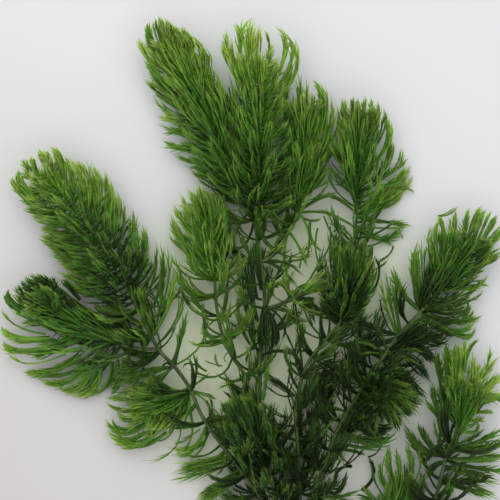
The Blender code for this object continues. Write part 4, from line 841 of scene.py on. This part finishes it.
def growBrush(name, branch, chance):
    # Whorl after whorl from the growing point down, with every leaf bent to the brush's outline
    route = routes[name]
    length = route[1][-1]
    dense = min(branch["dense"] * mm, length - brushes["footGap"])
    lockSize = chance.uniform(*brushes["lockSize"], brushes["lockKinds"])
    lockAge = chance.normal(0, brushes["lockAge"], brushes["lockKinds"])
    leastAngle, mostAngle = np.radians(brushes["angles"])
    rows = []
    short = branch.get("short", 0) * mm
    below = brushes["budHeight"] + short
    twist = 0.0
    while below < dense:
        distance = length - below
        grown = below - brushes["budHeight"] - short
        opened = 1 - math.exp(-grown / brushes["lengthens"])
        count = brushes["leaves"] if grown > brushes["firstStretch"] else brushes["firstLeaves"]
        if below > branch.get("thinBelow", math.inf) * mm:
            count = round(count * brushes["thinShare"])
        twist += brushes["turn"]
        place, forward, outward, azimuth = whorlLeaves(route, distance, count, chance, twist)
        over = np.maximum(outward[:, 2], 0)
        longest = branch.get("longest", brushes["longest"] / mm) * mm
        leafLength = np.full(count, brushes["shortest"] + (longest - brushes["shortest"]) * opened)
        bend = math.radians(branch.get("bend", brushes["bend"]))
        meanAngle = np.full(count, leastAngle)
        for _ in range(brushes["angleRounds"]):  # the angle that brings its tip to the brush's outline
            tipBelow = np.maximum(below - leafLength * np.cos(meanAngle), short)
            want = np.arcsin(np.clip(leafReach(branch, tipBelow, azimuth) / leafLength, 0, 1))
            meanAngle = meanAngle * 0.5 + np.clip(want, leastAngle, mostAngle) * 0.5
        for _ in range(brushes["shortenRounds"]):  # shortened until it lies inside that outline
            tipBelow = below - leafLength * np.cos(meanAngle)
            reach = leafReach(branch, np.maximum(tipBelow, short), azimuth) * brushes["inside"]
            wide = leafLength * np.sin(meanAngle) > reach
            leafLength = np.where(wide | (tipBelow < short), leafLength * brushes["shorten"], leafLength)
        rootScatter, tipScatter = brushes["angleScatter"]
        rootLean, tipLean = brushes["leanOver"]
        firstAngle = meanAngle + bend + chance.normal(0, rootScatter, count) - rootLean * over
        lastAngle = meanAngle - bend + chance.normal(0, tipScatter, count) - tipLean * over
        # a lock's number: hundreds for its place along the stem, ones for its place around it
        along = distance / brushes["lockAlong"] + chance.normal(0, brushes["lockScatter"], count)
        around = np.round(azimuth / math.tau * brushes["lockAround"]) % brushes["lockAround"]
        lock = np.round(along) * 100 + around
        lockKind = lock.astype(int) % brushes["lockKinds"]
        size = chance.uniform(*brushes["size"], count) * lockSize[lockKind]
        leafLength = np.maximum(leafLength * size, brushes["least"])
        older, agingStretch = brushes["aging"]
        age = branch["age"] + older * (1 - math.exp(-grown / agingStretch)) - brushes["youngTips"]
        age += branch.get("oldRoot", 0) * min(1, grown / dense)
        narrow = 1 if grown > brushes["narrowStretch"] else brushes["narrow"]
        rows.append({
            "root": place[None] + outward * brushes["rootOut"] * mm,
            "outward": outward,
            "forward": np.repeat(forward[None], count, axis=0),
            "length": leafLength,
            "firstAngle": firstAngle,
            "lastAngle": lastAngle,
            "bendPower": chance.uniform(*brushes["bendPower"], count),
            "lock": lock,
            "clump": brushes["clump"] * chance.uniform(*brushes["clumpRange"], count),
            "roll": chance.normal(0, brushes["roll"], count),
            "spread": chance.uniform(*brushes["spread"], count) * narrow,
            "thick": chance.uniform(*brushes["thick"], count),
            "pile": chance.uniform(*brushes["pile"], count) * mm,
            "age": np.clip(age + lockAge[lockKind] + chance.normal(0, brushes["ageScatter"], count),
                           0, leafGrowth["oldest"]),
            "tone": np.clip(branch["tint"] + chance.normal(0, brushes["toneScatter"], count), 0, 1),
            "lockSpread": brushes["lockSpread"],
        })
        step = (brushes["closest"] + (brushes["widest"] - brushes["closest"])
                * (1 - math.exp(-grown / brushes["opens"])))
        below += step * chance.uniform(*brushes["stepScatter"])
    leaves = pack(rows)
    curve = bendLeaves(leaves, chance)
    kept = clearOfGaps(curve, leafGrowth["clearBy"])
    parts = dressMixed(curve[kept], chooseLeaves(leaves, kept), brushes["shapes"], chance)
    parts += drawnLocks(name, chance)
    piece = joinMesh("brush_" + name, parts)
    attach(piece, "root")
    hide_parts("shoot_" + name)
    return piece


# Loose whorls round the open stretches
whorls = {
    "blades": 0.4,  # how many leaves are flat blades, unless the branch says
    "combs": 0.25,
    "firstAngle": (82, 7),  # degrees from the stem, mean and spread
    "lastAngle": (14, 12),
    "tries": 2,  # places tried for each leaf
    "sparseShare": 0.35,  # of the usual leaves where the photograph shows a bare stretch
    "bundles": 5,  # wet leaves cling together in this many bundles a whorl
    "together": (0.4, 1.0),  # how far towards a bundle's middle they are drawn
    "bundleAngle": 16,  # degrees by which bundles differ
    "lockSpread": 1.0 * mm,
    "twists": (0, 6),  # radians from whorl to whorl
    "rootOut": 0.8,  # of the stem's radius
    "size": (0.65, 1.12),
    "bendPower": (0.6, 1.5),
    "clump": (0, 0.7),
    "roll": 0.7,
    "spread": (0.6, 1.4),
    "thick": (0.85, 1.25),
    "pile": (0, 3),  # mm above the lowest height
    "ageScatter": 0.1,
    "toneScatter": 0.15,
}


def growWhorls(name, branch, chance):
    # A loose whorl at each open place of the stem
    route = routes[name]
    rows = []
    dense = route[1][-1] - branch["dense"] * mm
    for number, place in enumerate(branch["open"]):
        distance = place * mm
        up = min(1.0, distance / dense)
        lower, upper = branch["openLeaves"]
        bareFrom, bareTo = branch.get("sparse", (0, 0))
        share = whorls["sparseShare"] if bareFrom < place < bareTo else 1
        count = int(round((lower + (upper - lower) * up) * share)) * whorls["tries"]
        twist = chance.uniform(*whorls["twists"])
        root, forward, outward, azimuth = whorlLeaves(route, distance, count, chance, twist)
        bundle = np.round(azimuth / math.tau * whorls["bundles"]) % whorls["bundles"]
        middles = np.stack([outward[bundle == which].mean(axis=0) for which in bundle])
        outward = outward + (middles - outward) * chance.uniform(*whorls["together"], count)[:, None]
        outward /= np.linalg.norm(outward, axis=1, keepdims=True)
        bundleAngle = chance.normal(0, whorls["bundleAngle"], whorls["bundles"])[bundle.astype(int)]
        older, younger = branch["openAge"]
        age = older + (younger - older) * up
        rows.append({
            "root": root[None] + outward * branch["stalk"][0] * whorls["rootOut"] * mm,
            "outward": outward,
            "forward": np.repeat(forward[None], count, axis=0),
            "length": branch["leaf"] * mm * chance.uniform(*whorls["size"], count),
            "firstAngle": np.radians(chance.normal(*whorls["firstAngle"], count) + bundleAngle),
            "lastAngle": np.radians(chance.normal(*whorls["lastAngle"], count) + bundleAngle),
            "bendPower": chance.uniform(*whorls["bendPower"], count),
            "lock": number * 100 + bundle,
            "whorl": np.full(count, number),
            "order": chance.permutation(count),
            "clump": chance.uniform(*whorls["clump"], count),
            "roll": chance.normal(0, whorls["roll"], count),
            "spread": chance.uniform(*whorls["spread"], count),
            "thick": chance.uniform(*whorls["thick"], count) * branch.get("fine", 1),
            "pile": chance.uniform(*whorls["pile"], count) * mm,
            "age": np.clip(age + chance.normal(0, whorls["ageScatter"], count), 0, 1),
            "tone": np.clip(branch["tint"] + chance.normal(0, whorls["toneScatter"], count), 0, 1),
            "lockSpread": whorls["lockSpread"],
        })
    leaves = pack(rows)
    curve = bendLeaves(leaves, chance)
    kept = clearOfGaps(curve, leafGrowth["clearBy"])
    for number in range(len(branch["open"])):  # of those that lie clear, only as many as grow there
        here = np.flatnonzero(kept & (leaves["whorl"] == number))
        count = np.sum(leaves["whorl"] == number) // whorls["tries"]
        kept[here[np.argsort(leaves["order"][here])][count:]] = False
    blades = branch.get("blades", whorls["blades"])
    kinds = {"blade": blades, "comb": whorls["combs"], "fork": 1 - blades - whorls["combs"]}
    piece = joinMesh("whorls_" + name,
                     dressMixed(curve[kept], chooseLeaves(leaves, kept), kinds, chance))
    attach(piece, "root")
    for number in range(branch["nodes"]):
        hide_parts(f"whorl_{name}_{number + 1}")
    return piece


# How the locks of the table are filled with leaves
drawn = {
    "share": 0.75,  # of the leaves that the table gives
    "between": 0.62 * mm,  # from leaf to leaf across the middle of a lock
    "apart": 0.08,  # of that, at the tip
    "scatter": 0.3 * mm,
    "thickness": 0.7 * mm,
    "reach": (0.78, 1.0),  # how far along the lock a leaf goes
    "tipLift": 1.5,  # the tip's rise as a share of the middle's
    "thick": (0.95, 1.3),
    "older": 0.04,  # added to the ages of the table
    "teeth": 0.2,  # how many of the leaves are toothed, unless the branch says
    "belly": 0.85,  # how much of half a wave the leaves' parting follows from root to tip
    "thickest": 1.4,
    "roll": 0.5,
    "spread": (0.6, 1.4),
    "ageScatter": 0.07,
    "toneScatter": 0.12,
}


def sprayStrands(name):
    # The strands of the sprays, as rows like those of the locks
    strands = []
    for spray in sprays.get(name, []):
        rootX, rootY = spray["from"]
        for tipX, tipY in spray["tips"]:
            side = math.copysign(sprays["bow"], tipX - rootX)
            bendX = (rootX + tipX) / 2 + side * (tipY - rootY)
            bendY = (rootY + tipY) / 2 - side * (tipX - rootX)
            strands.append((rootX, rootY, bendX, bendY, tipX, tipY, spray["leaves"], spray["age"],
                            spray["lift"], spray["fine"]))
    return strands


def drawnLocks(name, chance):
    # Curves for the locks of the table: side by side at the middle, together at the tip
    rows, curves = [], []
    line = routes[name][0]
    t = np.linspace(0, 1, leafGrowth["steps"])[:, None]
    drawnRows = [(*lock, 1.0) for lock in locks[name]] + sprayStrands(name)
    for rootX, rootY, bendX, bendY, tipX, tipY, count, age, lift, fine in drawnRows:
        flat = [fromPixels(x, y) for x, y in ((rootX, rootY), (bendX, bendY), (tipX, tipY))]
        height = line[np.argmin(np.linalg.norm(line[:, :2] - flat[0], axis=1)), 2]
        root, bend, tip = (np.append(place, height + rise * lift * mm)
                           for place, rise in zip(flat, (0, 1, drawn["tipLift"])))
        control = 2 * bend - (root + tip) / 2
        length = np.linalg.norm(bend - root) + np.linalg.norm(tip - bend)
        across = np.cross(tip - root, (0, 0, 1.0))
        across /= np.linalg.norm(across)
        for leaf in range(max(1, round(count * drawn["share"]))):
            reach = 1.0 if leaf == 0 else chance.uniform(*drawn["reach"])
            aside = ((leaf % 2 * 2 - 1) * (leaf // 2) * drawn["between"]
                     + chance.normal(0, drawn["scatter"]))
            up = chance.normal(0, drawn["thickness"])
            s = t * reach
            curve = (1 - s) ** 2 * root + 2 * s * (1 - s) * control + s ** 2 * tip
            belly = np.sin(s * math.pi * drawn["belly"]) * (1 - drawn["apart"]) + drawn["apart"] * s
            curve = curve + across * aside * belly + np.array([0, 0, 1]) * up * belly
            curve[:, 2] = np.maximum(curve[:, 2], leafGrowth["floor"])
            curves.append(curve)
            heading = (curve[-1] - curve[0]) / np.linalg.norm(curve[-1] - curve[0])
            outward = np.cross(heading, (0, 0, 1.0)) * chance.choice([-1, 1])
            rows.append({
                "outward": (outward / np.linalg.norm(outward))[None],
                "forward": heading[None],
                "length": np.array([length * reach]),
                "reach": np.array([reach]),
                "roll": chance.normal(0, drawn["roll"], 1),
                "spread": chance.uniform(*drawn["spread"], 1),
                "thick": (chance.uniform(*drawn["thick"], 1) * fine
                          * min(drawn["thickest"], leafShapes["length"] * mm / length)),
                "age": np.clip(age + drawn["older"] + chance.normal(0, drawn["ageScatter"], 1),
                               0, leafGrowth["oldest"]),
                "tone": np.clip(branches[name]["tint"] + chance.normal(0, drawn["toneScatter"], 1), 0, 1),
            })
    if not rows:
        return []
    teeth = branches[name].get("teeth", drawn["teeth"])
    curves, leaves = np.array(curves), pack(rows)
    kept = clearOfGaps(curves, leafGrowth["clearBy"]) | (leaves["reach"] == 1)
    kinds = {"brush": 1 - teeth, "comb": teeth / 2, "blade": teeth / 2}
    return dressMixed(curves[kept], chooseLeaves(leaves, kept), kinds, chance)


# The bare stems that the leaves grow from
stalks = {
    "sides": 8,
    "step": 2.0 * mm,  # from ring to ring
    "slim": 0.7,  # of the thickness that the branch gives
    "swelling": 0.28,  # where leaves sprout, as a share of the thickness
    "swellingLength": 1.1 * mm,
    "tipLoss": 0.65,  # how much thinner it ends inside the brush
    "thinsBy": 1.6,  # it has lost all of that after 1 / 1.6 of the brush
}


def makeStalk(name, branch):
    # A circle drawn along the route, thicker where leaves sprout
    route = routes[name]
    full = route[1][-1]
    length = full - brushes["budHeight"]
    steps = int(length / stalks["step"])
    bm = bmesh.new()
    bmesh.ops.create_circle(bm, cap_ends=True, segments=stalks["sides"], radius=1.0)
    cap = bm.faces[:][0]
    before = None
    for step in range(steps + 1):
        share = step / steps
        distance = share * length
        centre, heading = Vector(placeOn(route, distance)), Vector(headingOn(route, distance))
        thick, thin = branch["stalk"]
        radius = (thick + (thin - thick) * share) * stalks["slim"] * mm
        inBrush = max(0.0, distance - (full - branch["dense"] * mm)) / (branch["dense"] * mm)
        radius *= 1 - stalks["tipLoss"] * min(1.0, inBrush * stalks["thinsBy"])
        if branch["open"]:
            near = min(abs(place * mm - distance) for place in branch["open"])
            radius *= 1 + stalks["swelling"] * math.exp(-(near / stalks["swellingLength"]) ** 2)
        side = heading.cross(Vector((0, 0, 1))).normalized()
        turn = Matrix((side, side.cross(heading), heading)).transposed().to_4x4()
        shape = Matrix.Translation(centre) @ turn @ Matrix.Diagonal((radius, radius, 1, 1))
        if before is None:
            bmesh.ops.transform(bm, matrix=shape, verts=cap.verts)
        else:
            cap = bmesh.ops.extrude_discrete_faces(bm, faces=[cap])["faces"][0]
            bmesh.ops.transform(bm, matrix=shape @ before.inverted(), verts=cap.verts)
        before = shape
    bmesh.ops.recalc_face_normals(bm, faces=bm.faces[:])
    mesh = bpy.data.meshes.new("stalk_" + name)
    bm.to_mesh(mesh)
    bm.free()
    mesh.polygons.foreach_set("use_smooth", np.ones(len(mesh.polygons), bool))
    piece = bpy.data.objects.new("stalk_" + name, mesh)
    bpy.context.scene.collection.objects.link(piece)
    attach(piece, "root")
    if "stem_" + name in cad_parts:
        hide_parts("stem_" + name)
    return piece


# The finishes: a leaf's colours run from young to old and darker towards each root, partly painted shade,
# the stem's from patch to patch and the roughness of both from smooth patches to dull ones
finishes = {
    "young": {
        "colours": [(0.0, "#b0da4c"), (0.3, "#7aae2e"), (0.6, "#4a821e"), (1.0, "#1c310a")],
        "roughness": (0.34, 0.54), "specular": 0.22, "coat": 0.06, "coatRoughness": 0.25,
        "patch": 25 / 3 * mm, "detail": 3.0},
    "mature": {
        "colours": [(0.0, "#a0c24a"), (0.3, "#6e962e"), (0.6, "#426a1c"), (1.0, "#1a2608")],
        "roughness": (0.35, 0.55), "specular": 0.18, "coat": 0.05, "coatRoughness": 0.25,
        "patch": 25 / 3 * mm, "detail": 3.0},
    "stem": {
        "colours": [(0.3, "#28360f"), (0.5, "#3e541c"), (0.7, "#5c7230")],
        "roughness": (0.28, 0.5), "specular": 0.35, "coat": 0.1, "coatRoughness": 0.2,
        "patch": 6.25 * mm, "detail": 4.0},
    "through": 0.7,  # thin leaves let light through
    "throughColour": (0.7, 1.0, 0.35),
    "throughDepth": 1.6 * mm,
    "tipYoungAndLit": 0.34,  # how much lighter a leaf is at its tip than at its root: partly younger growth, partly painted shade at the root deep in the brush
    "rootOldAndShaded": 0.08,
    "patchy": 0.5,  # how much age differs from patch to patch
    "cool": "#284a26",  # the blue-green of some leaves
    "coolBelow": 0.45,  # the tone where it sets in
    "coolest": 0.6,  # its share at tone 0
}


def toLinear(code):
    # sRGB hex to the linear values that the shaders take
    parts = [int(code[i:i + 2], 16) / 255 for i in (1, 3, 5)]
    return tuple(c / 12.92 if c <= 0.04045 else ((c + 0.055) / 1.055) ** 2.4 for c in parts) + (1.0,)


def addNode(tree, kind, settings=(), inputs=(), links=()):
    # One node with its settings, its input values and the outputs it is fed from
    node = tree.nodes.new(kind)
    for key, value in dict(settings).items():
        setattr(node, key, value)
    for key, value in dict(inputs).items():
        node.inputs[key].default_value = value
    for key, source in dict(links).items():
        tree.links.new(source, node.inputs[key])
    return node


def colourRamp(tree, source, stops):
    # Colours laid over the source's values
    ramp = addNode(tree, "ShaderNodeValToRGB", links={"Fac": source})
    while len(ramp.color_ramp.elements) < len(stops):
        ramp.color_ramp.elements.new(0.5)
    for element, (position, code) in zip(ramp.color_ramp.elements, stops):
        element.position = position
        element.color = toLinear(code)
    return ramp


def startFinish(name, look):
    # A wet surface with its shine, and soft patches that its colour and roughness follow
    material = bpy.data.materials.new(name)
    material.use_nodes = True
    tree = material.node_tree
    shader = tree.nodes["Principled BSDF"]
    shader.inputs["Specular IOR Level"].default_value = look["specular"]
    shader.inputs["Coat Weight"].default_value = look["coat"]
    shader.inputs["Coat Roughness"].default_value = look["coatRoughness"]
    where = addNode(tree, "ShaderNodeTexCoord")
    mottle = addNode(tree, "ShaderNodeTexNoise", (),
                     {"Scale": 1 / look["patch"], "Detail": look["detail"]},
                     {"Vector": where.outputs["Object"]})
    smooth, dull = look["roughness"]
    shine = addNode(tree, "ShaderNodeMapRange", (), {"To Min": smooth, "To Max": dull},
                    {"Value": mottle.outputs["Fac"]})
    tree.links.new(shine.outputs["Result"], shader.inputs["Roughness"])
    return material, shader, mottle


def makeLeafFinish(name, look):
    # Wet leaf skin, thin and soft: yellow-green where young, deep green where old, lighter at each tip
    # (younger there, and with painted shade at the root deep in the brush), with a dull shine and light
    # coming through
    material, shader, mottle = startFinish(name, look)
    tree = material.node_tree
    shader.inputs["Subsurface Weight"].default_value = finishes["through"]
    shader.inputs["Subsurface Radius"].default_value = finishes["throughColour"]
    shader.inputs["Subsurface Scale"].default_value = finishes["throughDepth"]
    age = addNode(tree, "ShaderNodeAttribute", {"attribute_name": "leafAge"})
    along = addNode(tree, "ShaderNodeAttribute", {"attribute_name": "alongLeaf"})
    tone = addNode(tree, "ShaderNodeAttribute", {"attribute_name": "leafTone"})
    # age counts down along the leaf, so its tip looks younger and lighter; part of this is painted shade,
    # darkening each root deep in the brush
    younger = addNode(tree, "ShaderNodeMath", {"operation": "MULTIPLY_ADD"},
                      {1: -finishes["tipYoungAndLit"], 2: finishes["rootOldAndShaded"]}, {0: along.outputs["Fac"]})
    older = addNode(tree, "ShaderNodeMath", {"operation": "ADD"}, (),
                    {0: age.outputs["Fac"], 1: younger.outputs[0]})
    patchy = addNode(tree, "ShaderNodeMath", {"operation": "MULTIPLY_ADD", "use_clamp": True},
                     {1: finishes["patchy"]}, {0: mottle.outputs["Fac"], 2: older.outputs[0]})
    base = colourRamp(tree, patchy.outputs[0], look["colours"])
    amount = addNode(tree, "ShaderNodeMapRange", (),
                     {"From Min": finishes["coolBelow"], "From Max": 0.0, "To Min": 0.0,
                      "To Max": finishes["coolest"]}, {"Value": tone.outputs["Fac"]})
    cool = addNode(tree, "ShaderNodeMix", {"data_type": "RGBA"}, {7: toLinear(finishes["cool"])},
                   {"Factor": amount.outputs["Result"], 6: base.outputs["Color"]})
    tree.links.new(cool.outputs[2], shader.inputs["Base Color"])
    return material


def makeStemFinish(name, look):
    # Wet stem skin, firmer and glossier than the leaves: dark olive with paler patches
    material, shader, mottle = startFinish(name, look)
    base = colourRamp(material.node_tree, mottle.outputs["Fac"], look["colours"])
    material.node_tree.links.new(base.outputs["Color"], shader.inputs["Base Color"])
    return material


youngSkin = makeLeafFinish("wetYoungLeaf", finishes["young"])
matureSkin = makeLeafFinish("wetMatureLeaf", finishes["mature"])
stemSkin = makeStemFinish("wetStemSkin", finishes["stem"])
print("finishes made")

chance = np.random.default_rng(11)
triangles = 0
for name, branch in branches.items():
    stalk = makeStalk(name, branch)
    stalk.data.materials.append(stemSkin)
    brush = growBrush(name, branch, chance)
    brush.data.materials.append(youngSkin)
    triangles += len(brush.data.polygons)
    if branch["open"]:
        loose = growWhorls(name, branch, chance)
        loose.data.materials.append(matureSkin)
        triangles += len(loose.data.polygons)
    print("grown", name, len(brush.data.polygons))
print("leaf triangles:", triangles)

# The pale surface below, the light and the camera, as in the photograph
studio = {
    "floor": 3.0,  # metres across
    "floorColour": "#edebea",
    "floorShadedColour": "#dad2cd",  # painted shade: a little darker and warmer towards the lower left, where the light falls off
    "fade": (60 * mm, -160 * mm),  # where that starts and ends
    "fadeSlope": 0.9,  # how far it runs with x, where 1 is as far as with y
    "fadeWander": 40 * mm,
    "floorRoughness": 0.6,
    "floorMottle": 30 * mm,
    "greenLightPaint": "#ebf1cc",  # painted light: the surface under the plant is painted pale green, for light coming through the leaves
    "greenLightPlace": (8 * mm, -14 * mm, 0),
    "greenLightReach": (35 * mm, 82 * mm),
    "worldColour": "#eef1f6",
    "world": 0.88,
    "lampPlace": (-0.15, 0.75, 1.0),
    "lampSize": 1.3,
    "lampPower": 5.0,
    "lens": 110.0,
    "sensor": 36.0,
    "focusHeight": 9 * mm,  # where the picture is exactly as wide as the photograph
    "nearest": 10 * mm,  # that the camera sees
}

bm = bmesh.new()
bmesh.ops.create_grid(bm, x_segments=1, y_segments=1, size=studio["floor"] / 2)
floorMesh = bpy.data.meshes.new("floor")
bm.to_mesh(floorMesh)
bm.free()
floor = bpy.data.objects.new("floor", floorMesh)
bpy.context.scene.collection.objects.link(floor)
floorPaint = bpy.data.materials.new("paleSurface")
floorPaint.use_nodes = True
tree = floorPaint.node_tree
where = addNode(tree, "ShaderNodeTexCoord")
mottle = addNode(tree, "ShaderNodeTexNoise", inputs={"Scale": 1 / studio["floorMottle"], "Detail": 2.0},
                 links={"Vector": where.outputs["Object"]})
# Painted shade: the floor colour darkens and warms towards the lower left, where the light falls off
parts = addNode(tree, "ShaderNodeSeparateXYZ", links={"Vector": where.outputs["Object"]})
towards = addNode(tree, "ShaderNodeMath", {"operation": "MULTIPLY_ADD"}, {1: studio["fadeSlope"]},
                  {0: parts.outputs["X"], 2: parts.outputs["Y"]})
down = addNode(tree, "ShaderNodeMath", {"operation": "MULTIPLY_ADD"}, {1: studio["fadeWander"]},
               {0: mottle.outputs["Fac"], 2: towards.outputs[0]})
faded = addNode(tree, "ShaderNodeMapRange", (),
                {"From Min": studio["fade"][0], "From Max": studio["fade"][1]},
                {"Value": down.outputs[0]})
tint = colourRamp(tree, faded.outputs["Result"], [(0.0, studio["floorColour"]), (1.0, studio["floorShadedColour"])])
# Painted light: a pale green pool painted on the floor round the plant, for light coming through the leaves
away = addNode(tree, "ShaderNodeVectorMath", {"operation": "DISTANCE"}, {1: studio["greenLightPlace"]},
               {0: where.outputs["Object"]})
near = addNode(tree, "ShaderNodeMapRange", {"interpolation_type": "SMOOTHSTEP"},
               {"From Min": studio["greenLightReach"][1], "From Max": studio["greenLightReach"][0]},
               {"Value": away.outputs["Value"]})
greenLightMix = addNode(tree, "ShaderNodeMix", {"data_type": "RGBA"}, {7: toLinear(studio["greenLightPaint"])},
               {"Factor": near.outputs["Result"], 6: tint.outputs["Color"]})
tree.links.new(greenLightMix.outputs[2], tree.nodes["Principled BSDF"].inputs["Base Color"])
tree.nodes["Principled BSDF"].inputs["Roughness"].default_value = studio["floorRoughness"]
floorMesh.materials.append(floorPaint)

world = bpy.data.worlds.new("softRoom")
world.use_nodes = True
world.node_tree.nodes["Background"].inputs["Color"].default_value = toLinear(studio["worldColour"])
world.node_tree.nodes["Background"].inputs["Strength"].default_value = studio["world"]
bpy.context.scene.world = world

lampData = bpy.data.lights.new("softLamp", "AREA")
lampData.shape = "SQUARE"
lampData.size = studio["lampSize"]
lampData.energy = studio["lampPower"]
lamp = bpy.data.objects.new("softLamp", lampData)
lamp.location = studio["lampPlace"]
lamp.rotation_mode = "QUATERNION"
lamp.rotation_quaternion = (Vector((0, 0, 0)) - lamp.location).to_track_quat("-Z", "Y")
bpy.context.scene.collection.objects.link(lamp)

cameraData = bpy.data.cameras.new("overhead")
cameraData.lens = studio["lens"]
cameraData.sensor_width = studio["sensor"]
cameraData.clip_start = studio["nearest"]
camera = bpy.data.objects.new("overhead", cameraData)
width = photo["size"] * photo["pixel"]
height = studio["focusHeight"] + width * studio["lens"] / studio["sensor"]
camera.location = (*fromPixels(photo["size"] / 2, photo["size"] / 2), height)
bpy.context.scene.collection.objects.link(camera)
bpy.context.scene.camera = camera
bpy.context.scene.view_settings.view_transform = "Standard"
print("floor, light and camera set")
